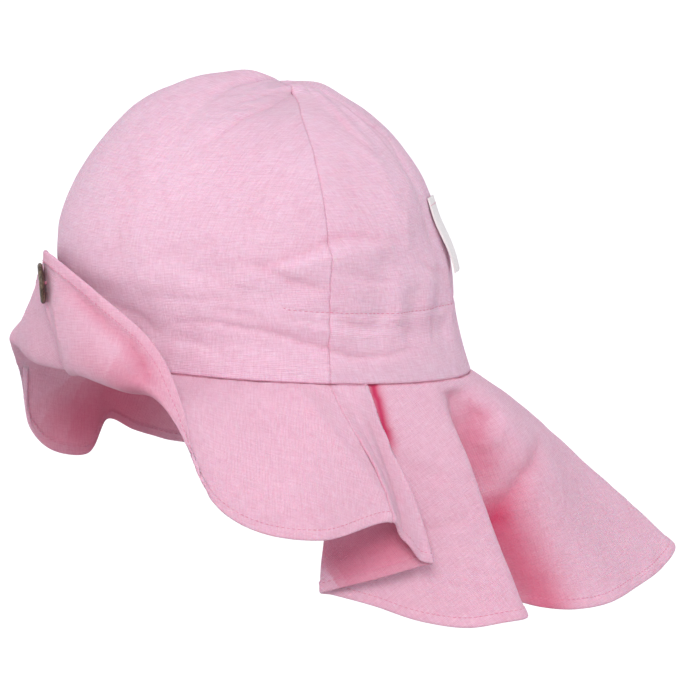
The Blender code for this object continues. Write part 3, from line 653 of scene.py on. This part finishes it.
def crownPanel(name, panel):
    turns = columnsWithEdges(crownSettings["columns"], crownSettings["girth"])
    turns = panel["from"] + (panel["to"] - panel["from"]) * turns
    low = np.array(crownSettings["seamRows"]) / crownSettings["height"]
    ups = np.concatenate([low, np.linspace(low[-1], 1, crownSettings["rows"])[1:]])
    deg, up = np.meshgrid(turns, ups, indexing="ij")
    points = crownPoint(deg.ravel(), up.ravel()).reshape(*deg.shape, 3)
    middle = len(turns) // 2
    around, fromBrim = lengthsAlong(points, 0), lengthsAlong(points, 1)
    flat = np.stack([around - around[middle], np.broadcast_to(fromBrim[middle], deg.shape)], axis=-1)
    normal = gridNormals(points)
    normal *= np.sign((normal[middle, 20] * seamOutward(np.float64(turns[middle]))).sum())
    lift, depth = creaseCloth(flat, deg, up, crownCreases)
    lift += softLumps(flat, crownSettings["lumps"]) + casingPuckers(deg, up, flat)
    edge = np.minimum(around, around[-1] - around)
    lift += seamPuckers(flat[..., 1], edge, 6.1) + seamPuckers(flat[..., 0], fromBrim, 8.3)
    lift *= np.clip((1 - up) / 0.05, 0, 1)  # all of it fades at the top, where the columns meet
    lift += seamTurn(edge) + seamTurn(fromBrim)
    # painted shade down the seams
    depth += (paintedSeamShade(edge) + paintedSeamShade(fromBrim))[..., None]
    points = points + lift[..., None] * normal
    points[:, -1] = points[:, -1].mean(axis=0) + np.array([0, panel["lean"] * hat["seamGap"] / 2, 0])
    piece = makeCloth(name, points, flat, np.full(deg.shape, clothSettings["wall"]), depth)
    inEditMode(piece, bpy.ops.mesh.remove_doubles, threshold=2e-6)
    return piece, casingRows(turns, ups, points, normal)


def casingRows(turns, ups, points, normal):
    # where the casing's stitches lie on this panel, outside and inside
    path = np.array(casingSettings["stitches"])
    inside = np.flatnonzero((turns % 360 >= path[0, 0]) & (turns % 360 <= path[-1, 0]))
    rows = []
    for run in np.split(inside, np.flatnonzero(np.diff(inside) > 1) + 1):
        high = np.interp(turns[run] % 360, path[:, 0], path[:, 1])
        line, outward = (
            np.array([readAlong(h, ups, values[c]) for h, c in zip(high, run)]) for values in (points, normal)
        )
        rows += [(line, side * outward * clothSettings["wall"] / 2) for side in (1, -1)]
    return rows


def casingPuckers(deg, up, flat):
    # the stitching draws the cloth in, and the elastic puckers it above and below
    settings = casingSettings
    deg = deg % 360
    path = np.array(settings["stitches"])
    ends = np.clip((deg - path[0, 0]) / 2, 0, 1) * np.clip((path[-1, 0] - deg) / 2, 0, 1)
    away = (up - np.interp(deg, path[:, 0], path[:, 1])) * settings["shareHeight"]
    groove = -settings["groove"] * np.exp(-((away / settings["grooveReach"]) ** 2))
    along = flat[..., 0]
    wave = noiseOver(np.stack([along, away * 0.25], axis=-1), 0.0075, 11.3)
    wave += 0.5 * noiseOver(np.stack([along, away * 0.2], axis=-1), 0.0036, 4.9)
    # deepest at the back, where the elastic is
    deep = 0.4 + 0.6 * np.clip((deg - 96) / 30, 0, 1) * np.clip((264 - deg) / 30, 0, 1)
    reach = np.where(away > 0, settings["above"], settings["below"])
    return ends * (groove + settings["pucker"] * deep * wave * np.exp(-((away / reach) ** 2)))


# brim and flap: one skirt of cloth, sewn together at the sides and pleated behind them

skirtPieces = {
    "brimLinen": {
        "node": "front_brim",
        "from": 0,
        "to": 1,
        "columns": 400,
        "rows": 70,
        "cloth": {"flat": (0.278, 0.200), "area": 0.0268, "held": "folded", "rests_on": ["crown_front"]},
    },
    "flapLinen": {
        "node": "neck_flap",
        "from": 1,
        "to": 2,
        "columns": 500,
        "rows": 76,
        "cloth": {"flat": (0.396, 0.252), "area": 0.0547, "held": "hung", "rests_on": ["crown_back"]},
    },
}
skirtSettings = {
    "length": 0.5,  # m round a piece, about: it shares out the crowded columns
    "seamRows": (0, 0.0004, 0.0009, 0.0015, 0.0024),  # m from the seam and from the hem's fold
    "hemRows": (75, 66, 58, 52, 47, 40, 31, 22, 14, 8, 4, 1.5, 0),  # tenths of a millimetre
    "lumps": ((0.00060, 0.026, 5.3), (0.00022, 0.010, 1.9)),
    "allowanceIn": 0.0016,  # how far inside the seam the allowance lies, and how far above the seam it ends
    "allowanceUp": 0.0006,
    "deeper": 0.10,  # painted shade: its colour is this much deeper than the crown's, for the redder light between its layers
}
skirtCreases = [
    # places are a row of skirtLines and a share of the way from the seam to the hem
    crease(6, 1.8, (20.7, 0.02), (21.1, 0.10), (21.3, 0.28), (21.5, 0.45), (21.8, 0.70), (22.0, 0.93),
           ends=(1, 0)),
    crease(6, 1.7, (22.01, 0.35), (22.01, 0.70), (22.01, 1.0), ends=(1, 0)),
    crease(6, -1.6, (23.6, 0.10), (23.6, 0.40), (23.3, 0.70), (22.9, 1.0), ends=(1, 0)),
    # the valley behind the crest, and the soft crease that ends in it, with shade painted deep rose in the
    # valley and beside it
    crease(10, -6.5, (37.4, 0.03), (37.6, 0.25), (37.4, 0.55), (36.9, 0.80), (36.6, 1.0), depth=0.06,
           ends=(0.5, 0)),
    crease(13, 0, (38.2, 0.50), (38.4, 0.64), (38.7, 0.80), (39.1, 1.0), depth=0.60, ends=(1, 0)),
    crease(11, 0, (38.2, 0.12), (38.2, 0.30), (38.3, 0.50), depth=0.20),
    crease(5, -2.6, (42.0, 0.33), (40.6, 0.40), (39.6, 0.45), (38.9, 0.53), (38.0, 0.66), depth=0.08),
    crease(4, 1.2, (40.2, 0.20), (39.0, 0.28), (38.0, 0.30)),
    crease(3, -1.4, (38.3, 0.10), (38.9, 0.16), (39.3, 0.20), depth=0.15),
    # the pleat's edge gapes a little below the seam, and shade is painted deep in the gap
    crease(3, -1.2, (31.95, 0.01), (32.02, 0.10), (32.05, 0.18), (32.1, 0.30), depth=0.85, ends=(0, 1)),
    crease(3, -0.9, (31.0, 0.62), (32.2, 0.60), (33.1, 0.58), (34.2, 0.55)),
    crease(4, -0.8, (32.0, 0.30), (33.0, 0.36), (33.8, 0.38)),
    crease(8, -1.2, (44.5, 0.30), (44.0, 0.55), (44.6, 0.80)),
    # under the button: the brim creases down from it, and rolls in below its hem; shade is painted below the
    # hem and over the lower turned-up face
    crease(2.2, -1, (12.0, 0.74), (11.8, 0.62), (12.1, 0.50), (12.6, 0.38)),
    crease(2.4, -0.8, (12.8, 0.70), (13.1, 0.58), (13.4, 0.46)),
    crease(4.5, 2.8, (12.9, 0.88), (14.2, 0.87), (15.4, 0.86), (16.6, 0.84), inside=0.25),
    crease(12, 0, (14.8, 0.70), (15.8, 0.72), (16.8, 0.70), (17.8, 0.64), inside=0.30, ends=(0.5, 1)),
    crease(8, 0, (13.8, 0.56), (14.8, 0.56), (16.0, 0.56), (17.2, 0.56), inside=0.20),
    crease(5, 1.2, (7.0, 0.55), (8.0, 0.48), (9.0, 0.46)),
    # painted shade on the insides of the far lobe and of the pleat, deepest where the cloth turns under
    crease(26, 0, (0.8, 0.88), (2.5, 0.80), (4.2, 0.74), (5.6, 0.66), inside=0.55),
    crease(18, 0, (25.6, 0.80), (27.0, 0.83), (28.0, 0.86), (29.0, 0.88), inside=0.50, ends=(0, 1)),
]


def skirtPiece(name, settings):
    shares = columnsWithEdges(settings["columns"], skirtSettings["length"])
    lines, rowNumber = skirtLinesAt(shares, sideSeams[settings["from"]], sideSeams[settings["to"]])
    fine = np.linspace(0, 1, 161)
    lengths = lengthsAlong(skirtCurve(lines, fine), 1)
    total = lengths[:, -1:]
    nearSeam, nearHem = np.array(skirtSettings["seamRows"]), np.array(skirtSettings["hemRows"]) / 10000
    between = np.linspace(0, 1, settings["rows"])[1:-1]
    middle = nearSeam[-1] + between * (total - nearSeam[-1] - nearHem[0])
    below = np.broadcast_to(nearSeam, (len(lines), len(nearSeam)))
    down = np.concatenate([below, middle, total - nearHem], axis=1)
    points = skirtCurve(lines, np.stack([np.interp(d, l, fine) for d, l in zip(down, lengths)]))
    flat = skirtFlat(points, down)
    normal = gridNormals(points)
    normal *= np.sign((normal[:, 8] * seamOutward(lines[:, 0])).sum())
    share = down / total
    lift, depth = creaseCloth(flat, np.broadcast_to(rowNumber[:, None], down.shape), share, skirtCreases)
    lift += softLumps(flat, skirtSettings["lumps"]) * np.clip(share / 0.2, 0, 1)
    around = lengthsAlong(points, 0)
    edge, fromHem = np.minimum(around, around[-1] - around), total - down
    lift += seamTurn(edge) + seamTurn(down) + seamPuckers(down, edge, 3.7) + seamPuckers(around, down, 9.2)
    lift += hemDip(fromHem, around)
    # painted shade down the seams
    depth += (paintedSeamShade(edge) + paintedSeamShade(down))[..., None]
    points = points + lift[..., None] * normal
    atStitches = clothSettings["hemWidth"] - clothSettings["hemStitch"]
    stitched = len(nearSeam) + len(between) + int(np.argmin(np.abs(nearHem - atStitches)))
    stand = normal[:, stitched] * hemWalls(fromHem)[:, stitched, None] / 2
    stitchRows = [(points[2:-2, stitched], side * stand[2:-2]) for side in (1, -1)]
    allowance = skirtAllowance(lines)
    extra = allowance.shape[1]
    above = np.linspace(clothSettings["allowance"], 0, extra, endpoint=False)
    points = np.concatenate([allowance, points], axis=1)
    flat = np.concatenate([flat[:, :1] - np.multiply.outer(above, (0, 1)), flat], axis=1)
    walls = np.concatenate([np.full(allowance.shape[:2], clothSettings["wall"]), hemWalls(fromHem)], axis=1)
    depth = np.concatenate([np.repeat(depth[:, :1], extra, axis=1), depth], axis=1)
    # painted shade: the skirt is a little deeper all over than the crown
    return makeCloth(name, points, flat, walls, depth + skirtSettings["deeper"]), stitchRows


def skirtFlat(points, down):
    # rolls the skirt out flat, column by column, so that the weave keeps its size
    seamStep, hemStep = (np.linalg.norm(np.diff(points[:, row], axis=0), axis=-1) for row in (0, -1))
    depth = (down[1:, -1] + down[:-1, -1]) / 2
    turn = np.concatenate([[0], np.cumsum((hemStep - seamStep) / depth)])
    turn -= turn[-1] / 2
    way = np.stack([np.sin(turn), -np.cos(turn)], axis=-1)
    across = np.stack([np.cos(turn), np.sin(turn)], axis=-1)
    start = np.concatenate([[[0, 0]], np.cumsum(across[1:] * seamStep[:, None], axis=0)])
    return start[:, None] + way[:, None] * down[..., None]


def skirtAllowance(lines):
    # what is left of the cloth above the seam, flat against the crown's inside
    base = seamPoint(lines[:, 0]) - seamOutward(lines[:, 0]) * skirtSettings["allowanceIn"]
    rise = np.linspace(clothSettings["allowance"], skirtSettings["allowanceUp"], 4)
    return base[:, None] + np.multiply.outer(rise, (0, 0, 1))


def hemWalls(fromHem):
    # wall thickness near the hem: three layers, rounded at the fold, one above the stitching
    wall, hem, reach = (clothSettings[key] for key in ("wall", "hemWall", "hemFold"))
    fold = np.sqrt(np.clip(1 - (1 - np.clip(fromHem / reach, 0, 1)) ** 2, 0.02, 1))
    band = np.clip((clothSettings["hemWidth"] + reach / 2 - fromHem) / reach, 0, 1)
    return wall + (hem - wall) * band * fold - wall * 0.72 * (1 - fold)


def hemDip(fromHem, around):
    # the row of stitches pulls the hem in, and the cloth puckers unevenly along it
    away = fromHem - clothSettings["hemWidth"] + clothSettings["hemStitch"]
    dip = np.exp(-((away / 0.0006) ** 2))
    wave = noiseOver(np.stack([around, away * 0.3], axis=-1), 0.0062, 2.7)
    puckers = clothSettings["hemPucker"] * wave * np.exp(-((away / 0.0050) ** 2))
    return puckers - clothSettings["hemPull"] * dip


# linen

colours = {
    "linenLight": "#F3D3E4",
    "linenDeep": "#D6A0B8",
    "linenFleck": "#F6E2EC",
    # painted shade: the deep rose that creases, seams and insides are painted towards
    "linenFold": "#C83D66",
    "thread": "#D06F8E",
    "threadLight": "#E39CB5",
    "ribbon": "#FAF8F7",
    "ribbonDeep": "#E3DDDC",
    "buttonDark": "#33241B",
    "buttonPale": "#8C7860",
    "floor": "#FFFFFF",
    "floorGrey": "#B4A9AB",
    "sky": "#F7F8FF",
    "key": "#FFF8F4",
}


def linear(name):
    code = colours[name].lstrip("#")
    parts = [int(code[i : i + 2], 16) / 255 for i in (0, 2, 4)]
    return tuple(c / 12.92 if c <= 0.04045 else ((c + 0.055) / 1.055) ** 2.4 for c in parts) + (1,)


def setInputs(tree, node, inputs):
    # inputs are values, or sockets of nodes made before
    for key, value in inputs.items():
        if isinstance(value, bpy.types.NodeSocket):
            tree.links.new(value, node.inputs[key])
        else:
            node.inputs[key].default_value = value


def addNode(tree, kind, inputs=None, **settings):
    node = tree.nodes.new("ShaderNode" + kind)
    for key, value in settings.items():
        setattr(node, key, value)
    setInputs(tree, node, inputs or {})
    return node


def newMaterial(name):
    # the material, what adds a node to it, and what sets its surface
    material = bpy.data.materials.new(name)
    material.use_nodes = True
    tree = material.node_tree
    return material, partial(addNode, tree), partial(setInputs, tree, tree.nodes["Principled BSDF"])


linenSettings = {
    "warp": 0.00062,  # m from thread to thread: a third coarser than the cloth's, so that it shows
    "weft": 0.00066,
    "wander": 0.0005,  # how far a thread strays from its line
    "slub": 0.00075,  # width of a thick place in a thread
    "slubLength": 0.0065,
    "fleck": 0.0007,  # size of the pale flecks scattered over it
    "patch": 0.030,  # size of the areas that are a little paler or deeper
    "relief": 0.00035,  # height of a thread's top over the gaps
    "glow": 0.0025,  # how far light travels in it
}


def makeLinen(settings):
    # plain woven linen: matte, with uneven threads, and shade painted into the gaps between them so that
    # their tops are paler
    material, add, setSurface = newMaterial("pinkLinen")
    uv = add("UVMap", uv_map="cloth").outputs["UV"]
    wobble = add("TexNoise", {"Vector": uv, "Scale": 220, "Detail": 1}).outputs["Color"]
    stray = {0: wobble, 1: (settings["wander"], settings["wander"], 0), 2: uv}
    apart = add("SeparateXYZ", {0: add("VectorMath", stray, operation="MULTIPLY_ADD").outputs[0]})
    wide, long = 1 / settings["slub"], 1 / settings["slubLength"]
    threads = []
    for axis, spacing, scale in (("X", "warp", (wide, long, 1)), ("Y", "weft", (long, wide, 1))):
        often = {0: apart.outputs[axis], 1: 2 * math.pi / settings[spacing]}
        turn = add("Math", often, operation="MULTIPLY").outputs[0]
        wave = add("Math", {0: turn}, operation="SINE").outputs[0]
        place = add("Mapping", {"Vector": uv, "Scale": scale}).outputs[0]
        slub = add("TexNoise", {"Vector": place, "Scale": 1, "Detail": 2, "Roughness": 0.6}).outputs["Fac"]
        threads.append(add("Math", {0: wave, 1: 0.16, 2: slub}, operation="MULTIPLY_ADD").outputs[0])
    relief = add("Math", {0: threads[0], 1: threads[1]}, operation="ADD").outputs[0]
    # painted shade in the weave: the lower the place, the deeper the colour
    tone = add("MapRange", {"Value": relief, "From Min": 0.35, "From Max": 1.65}).outputs[0]
    patch = add("TexNoise", {"Vector": uv, "Scale": 1 / settings["patch"], "Detail": 2}).outputs["Fac"]
    worn = add("Math", {0: patch, 1: 0.3, 2: tone}, operation="MULTIPLY_ADD").outputs[0]
    shift = add("Math", {0: worn, 1: 0.15}, operation="SUBTRACT").outputs[0]
    shades = {"Factor": shift, 6: linear("linenDeep"), 7: linear("linenLight")}
    dyed = add("Mix", shades, data_type="RGBA").outputs[2]
    speck = add("TexNoise", {"Vector": uv, "Scale": 1 / settings["fleck"], "Detail": 1}).outputs["Fac"]
    fleck = add("MapRange", {"Value": speck, "From Min": 0.63, "From Max": 0.74, "To Max": 0.5}).outputs[0]
    flecked = add("Mix", {"Factor": fleck, 6: dyed, 7: linear("linenFleck")}, data_type="RGBA").outputs[2]
    # painted shade: deep rose mixed in by the depth attribute, in creases, seams and on the insides
    depth = add("Attribute", attribute_name="depth").outputs["Fac"]
    colour = add("Mix", {"Factor": depth, 6: flecked, 7: linear("linenFold")}, data_type="RGBA").outputs[2]
    bump = add("Bump", {"Strength": 0.7, "Distance": settings["relief"], "Height": relief}).outputs[0]
    setSurface({"Base Color": colour, "Normal": bump, "Roughness": 0.95, "Specular IOR Level": 0.15})
    setSurface({"Sheen Weight": 0.08, "Sheen Roughness": 0.6})
    # daylight shows through the thin cloth
    setSurface({"Subsurface Weight": 0.3, "Subsurface Radius": (1.0, 0.25, 0.4)})
    setSurface({"Subsurface Scale": settings["glow"]})
    return material


def makeThread():
    # spun sewing thread: soft and matte, its plies deeper where they turn away
    material, add, setSurface = newMaterial("spunThread")
    place = add("TexCoord").outputs["Object"]
    plies = add("TexNoise", {"Vector": place, "Scale": 1800, "Detail": 2}).outputs["Fac"]
    shades = {"Factor": plies, 6: linear("thread"), 7: linear("threadLight")}
    colour = add("Mix", shades, data_type="RGBA").outputs[2]
    setSurface({"Base Color": colour, "Roughness": 0.8, "Specular IOR Level": 0.2})
    return material


def makeRibbon(rib):
    # woven cotton ribbon: bleached, close ribs across it and a slight gloss on them
    material, add, setSurface = newMaterial("wovenRibbon")
    uv = add("UVMap", uv_map="cloth").outputs["UV"]
    often = {0: add("SeparateXYZ", {0: uv}).outputs["Y"], 1: 2 * math.pi / rib}
    turn = add("Math", often, operation="MULTIPLY").outputs[0]
    ribs = add("Math", {0: turn}, operation="SINE").outputs[0]
    grain = add("TexNoise", {"Vector": uv, "Scale": 900, "Detail": 2}).outputs["Fac"]
    relief = add("Math", {0: ribs, 1: 0.3, 2: grain}, operation="MULTIPLY_ADD").outputs[0]
    # painted shade: the troughs between the ribs get the deeper colour
    tone = add("MapRange", {"Value": relief, "From Min": 0.1, "From Max": 0.9}).outputs[0]
    shades = {"Factor": tone, 6: linear("ribbonDeep"), 7: linear("ribbon")}
    colour = add("Mix", shades, data_type="RGBA").outputs[2]
    bump = add("Bump", {"Strength": 0.4, "Distance": 0.0002, "Height": relief}).outputs[0]
    setSurface({"Base Color": colour, "Normal": bump, "Roughness": 0.7, "Specular IOR Level": 0.3})
    return material


def makeShell():
    # coconut shell, turned and polished: dark brown with pale flecks drawn out along the grain
    material, add, setSurface = newMaterial("turnedCoconutShell")
    place = add("TexCoord").outputs["Object"]
    drawn = add("Mapping", {"Vector": place, "Scale": (1, 1, 0.45)}).outputs[0]
    flecks = add("TexNoise", {"Vector": drawn, "Scale": 1100, "Detail": 3, "Roughness": 0.65}).outputs["Fac"]
    clouds = add("TexNoise", {"Vector": place, "Scale": 240, "Detail": 2}).outputs["Fac"]
    mixed = add("Math", {0: clouds, 1: 0.5, 2: flecks}, operation="MULTIPLY_ADD").outputs[0]
    tone = add("MapRange", {"Value": mixed, "From Min": 0.66, "From Max": 0.98}).outputs[0]
    shades = {"Factor": tone, 6: linear("buttonDark"), 7: linear("buttonPale")}
    colour = add("Mix", shades, data_type="RGBA").outputs[2]
    bump = add("Bump", {"Strength": 0.15, "Distance": 0.0002, "Height": mixed}).outputs[0]
    setSurface({"Base Color": colour, "Normal": bump, "Roughness": 0.38})
    return material


# label: a bare ribbon, folded in two and sewn down by its ends

labelSettings = {
    "width": 0.012,
    "length": 0.034,
    "wall": 0.00032,
    "top": 0.0745,  # height of the sewn end above the origin
    "deg": 152.5,
    "clear": 0.0014,  # from the crown's middle to the ribbon's, at the sewn end
    "stand": 0.0022,  # how far the fold stands off the crown
    "ripple": 0.0002,
    "columns": 13,
    "twistDeg": 0.5,
    "apart": 0.00045,  # between the middles of the two layers
    "rib": 0.0007,  # m from rib to rib
    "cloth": {"flat": (0.012, 0.078), "held": "folded", "rests_on": ["crown_back"]},
}


def crownAtHeight(deg, height):
    points = crownPoint(np.full(240, float(deg)), np.linspace(0, 0.8, 240))
    return points[int(np.argmin(np.abs(points[:, 2] - height)))]


def makeLabel(settings):
    downs = np.linspace(0, 1, 40)
    fold = np.linspace(0, math.pi, 9)[1:-1]
    way = np.concatenate([downs, 1 + 0 * fold, downs[::-1]])  # down the inner layer, round the fold and up
    layer = np.concatenate([-1 + 0 * downs, -np.cos(fold), 1 + 0 * downs])
    beyond = np.concatenate([0 * downs, np.sin(fold), 0 * downs])
    half = settings["apart"] / 2
    start = seamOutward(np.float64(settings["deg"]))
    across = np.array([-start[1], start[0], 0])
    points = np.empty((settings["columns"], len(way), 3))
    for row, (down, side, out) in enumerate(zip(way, layer, beyond)):
        height = settings["top"] - down * (settings["length"] - half)
        wall = crownAtHeight(settings["deg"], height) - np.array([0, 0, out * half])
        twist = math.radians(settings["twistDeg"]) * down
        reach = across * math.cos(twist) - start * math.sin(twist)
        rest = settings["width"] / 2 * math.sin(twist)
        stand = settings["clear"] + settings["stand"] * down**1.3 + rest + side * half * min(1, 0.75 + down)
        for column, place in enumerate(np.linspace(-0.5, 0.5, settings["columns"])):
            wave = settings["ripple"] * math.sin(9 * place + 7 * down) * down
            points[column, row] = wall + start * (stand + wave) + reach * place * settings["width"]
    lengths = lengthsAlong(points, 1)
    widths = np.linspace(0, settings["width"], settings["columns"])
    flat = np.stack([np.broadcast_to(widths[:, None], lengths.shape), lengths], axis=-1)
    walls = np.full(lengths.shape, settings["wall"])
    piece = makeCloth("foldedRibbon", points, flat, walls, 0 * flat)
    outer = points[:, -5] + start * settings["wall"] / 2
    return piece, [(outer, np.broadcast_to(start * 0.0001, outer.shape))]


# button: turned shell with a raised rim, sewn on through four holes

buttonSettings = {
    "diameter": 0.0185,
    "thickness": 0.0024,
    "rise": 0.83,  # place up the brim's front, as a share of its depth
    "leanDeg": 11,  # its top leans off the cloth
    "rest": 0.3,  # how far from its middle it rests on the cloth, as a share of its radius
    # from the middle of its face over the rim to the middle of its back, as shares of its radius and
    # of half its thickness
    "section": [
        *((0, 0.45), (0.5, 0.45), (0.68, 0.6), (0.78, 0.97), (0.9, 0.95)),
        *((1, 0.15), (0.92, -0.7), (0.6, -1), (0, -1)),
    ],
    "dish": 0.0007,
    "hole": 0.0020,
    "spacing": 0.0042,
    "threadThick": 0.0005,
    "threadPast": 0.0005,  # how far a strand reaches past the middle of its hole
    "shankLength": 0.0018,
    "shankRadius": 0.0008,
    "shankSunk": 0.0004,
}


def frontLine(share):
    # a point in the middle of the turned-up front, and the directions up the cloth and out of it
    lines, rowNumber = skirtLinesAt(np.linspace(0, 1, 241), sideSeams[0], sideSeams[1])
    grid = skirtCurve(lines, np.array([share - 0.02, share, share + 0.02]))
    middle = int(np.argmin(np.abs(grid[:, 1, 0])))
    up = grid[middle, 2] - grid[middle, 0]
    side = grid[middle + 1, 1] - grid[middle - 1, 1]
    return Vector(grid[middle, 1]), Vector(up).normalized(), Vector(np.cross(side, up)).normalized()


def buttonFrame(settings):
    place, up, out = frontLine(settings["rise"])
    lean = math.radians(settings["leanDeg"])
    radius = settings["diameter"] / 2
    stand = hat["skirtCloth"] / 2 + hat["seamGap"] + settings["thickness"] / 2
    stand += settings["rest"] * radius * math.sin(lean)
    turned = Matrix((up.cross(out), up, out)).transposed().to_4x4() @ Matrix.Rotation(-lean, 4, "Y")
    return Matrix.Translation(place + out * stand) @ turned


def makeButton(settings):
    # its section is turned round its axis, then drilled
    radius, half = settings["diameter"] / 2, settings["thickness"] / 2
    corners = 40
    section = smoothThrough(settings["section"], np.linspace(0, len(settings["section"]) - 1, corners))
    mesh = bpy.data.meshes.new("turnedButton")
    edges = [(i, i + 1) for i in range(corners - 1)]
    mesh.from_pydata([(out * radius, 0, up * half) for out, up in section], edges, [])
    button = bpy.data.objects.new("turnedButton", mesh)
    scene.collection.objects.link(button)
    screw = {"steps": 64, "render_steps": 64, "use_merge_vertices": True, "merge_threshold": 1e-5}
    applyModifier(button, "SCREW", **screw)
    button.select_set(True)
    inEditMode(button, bpy.ops.mesh.normals_make_consistent, inside=False)
    away, hole = settings["spacing"] / 2, settings["hole"] / 2
    for number in range(4):
        turn = math.radians(45 + 90 * number)
        place = (away * math.cos(turn), away * math.sin(turn), 0)
        bpy.ops.mesh.primitive_cylinder_add(vertices=16, radius=hole, depth=0.01, location=place)
        drill = bpy.context.object
        applyModifier(button, "BOOLEAN", object=drill, operation="DIFFERENCE")
        bpy.data.objects.remove(drill, do_unlink=True)
    button.select_set(True)
    bpy.context.view_layer.objects.active = button
    bpy.ops.object.shade_smooth_by_angle(angle=math.radians(35))
    button.data.transform(buttonFrame(settings))
    bpy.ops.object.select_all(action="DESELECT")
    return button


def makeButtonThread(settings):
    # two pairs of strands cross over the holes, and a wound shank holds the button off the cloth
    strands = []
    reach = settings["spacing"] + 2 * settings["threadPast"]
    thick = settings["threadThick"]
    for turn, shift, high in ((45, -0.35, 0), (45, 0.35, 0), (-45, -0.35, 0.7), (-45, 0.35, 0.7)):
        bpy.ops.mesh.primitive_uv_sphere_add(segments=12, ring_count=8, radius=0.5)
        strands.append(bpy.context.object)
        lift = settings["thickness"] / 2 - settings["dish"] + thick * (0.25 + high)
        lay = Matrix.Rotation(math.radians(turn), 4, "Z") @ Matrix.Translation((0, shift * 2 * thick, lift))
        strands[-1].data.transform(lay @ Matrix.Diagonal((reach, thick, thick * 1.4, 1)))
    shank = settings["shankLength"]
    bpy.ops.mesh.primitive_cylinder_add(vertices=16, radius=settings["shankRadius"], depth=shank)
    strands.append(bpy.context.object)
    low = -settings["thickness"] / 2 - shank / 2 + settings["shankSunk"]
    strands[-1].data.transform(Matrix.Translation((0, 0, low)))
    bpy.ops.object.select_all(action="DESELECT")
    for strand in strands:
        strand.select_set(True)
    bpy.context.view_layer.objects.active = strands[0]
    bpy.ops.object.join()
    thread = bpy.context.object
    thread.name = thread.data.name = "buttonThread"
    thread.data.transform(buttonFrame(settings))
    thread.data.shade_smooth()
    bpy.ops.object.select_all(action="DESELECT")
    return thread


linen = makeLinen(linenSettings)
thread = makeThread()
print("linen and thread ready")


def dress(piece, node, material):
    piece.data.materials.clear()
    piece.data.materials.append(material)
    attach(piece, "root")
    if node:
        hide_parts(node)


def dressSheet(piece, rows, node, material, cloth):
    # a sheet of cloth with its stitches. Cloth, the size that it lies flat at, is not used
    stitches = stitchesAlong(piece.name.replace("Linen", "") + "Stitches", rows, stitchSettings)
    dress(piece, node, material)
    dress(stitches, None, thread)
    print(piece.name, len(piece.data.polygons), "and", len(stitches.data.polygons))


for name, panel in crownPanels.items():
    dressSheet(*crownPanel(name, panel), panel["node"], linen, panel["cloth"])
for name, settings in skirtPieces.items():
    dressSheet(*skirtPiece(name, settings), settings["node"], linen, settings["cloth"])
dressSheet(*makeLabel(labelSettings), "label", makeRibbon(labelSettings["rib"]), labelSettings["cloth"])
button = makeButton(buttonSettings)
dress(button, "button", makeShell())
dress(makeButtonThread(buttonSettings), None, thread)
print("label and button ready")


# stage: a pale floor well below the hat, which is held up as worn, under soft light

stageSettings = {
    "floorHeight": -0.45,
    "floorSize": 60,
    "greyReach": 0.9,  # painted shade: the floor is a deeper grey below the hat, out to here, to cut the light it throws up, and white from the next
    "whiteReach": 1.6,
    "floorGlow": 0.2,  # painted light: the white part glows a little as well, though no lamp is in it
    "skyStrength": 0.72,
    "keyStrength": 1.72,
    "keySpreadDeg": 22,  # a wide sun, as soft as a big window
    "keyFrom": (0.775, -0.400, 0.490),  # a little above the camera and left of it
}


def makeStage(settings):
    bpy.ops.mesh.primitive_plane_add(size=settings["floorSize"], location=(0, 0, settings["floorHeight"]))
    floor = bpy.context.object
    floor.name = "floor"
    material, add, setSurface = newMaterial("paleFloor")
    distance = add("VectorMath", {0: add("TexCoord").outputs["Object"]}, operation="LENGTH").outputs["Value"]
    reach = {"Value": distance, "From Min": settings["greyReach"], "From Max": settings["whiteReach"]}
    outer = add("MapRange", reach, interpolation_type="SMOOTHSTEP").outputs[0]
    # painted shade: grey below the hat, white further out
    shades = {"Factor": outer, 6: linear("floorGrey"), 7: linear("floor")}
    colour = add("Mix", shades, data_type="RGBA").outputs[2]
    # painted light: the floor's white part glows
    glow = add("Math", {0: outer, 1: settings["floorGlow"]}, operation="MULTIPLY").outputs[0]
    setSurface({"Base Color": colour, "Roughness": 0.9})
    setSurface({"Emission Color": linear("floor"), "Emission Strength": glow})
    floor.data.materials.append(material)
    world = bpy.data.worlds.new("studio")
    scene.world = world
    world.use_nodes = True
    sky = {"Color": linear("sky"), "Strength": settings["skyStrength"]}
    setInputs(world.node_tree, world.node_tree.nodes["Background"], sky)
    bpy.ops.object.light_add(type="SUN", location=settings["keyFrom"])
    key = bpy.context.object
    key.name = "key"
    key.data.energy = settings["keyStrength"]
    key.data.angle = math.radians(settings["keySpreadDeg"])
    key.data.color = linear("key")[:3]
    key.rotation_euler = Vector(settings["keyFrom"]).to_track_quat("Z", "Y").to_euler()


makeStage(stageSettings)
scene.view_settings.view_transform = "Standard"
print("stage ready")
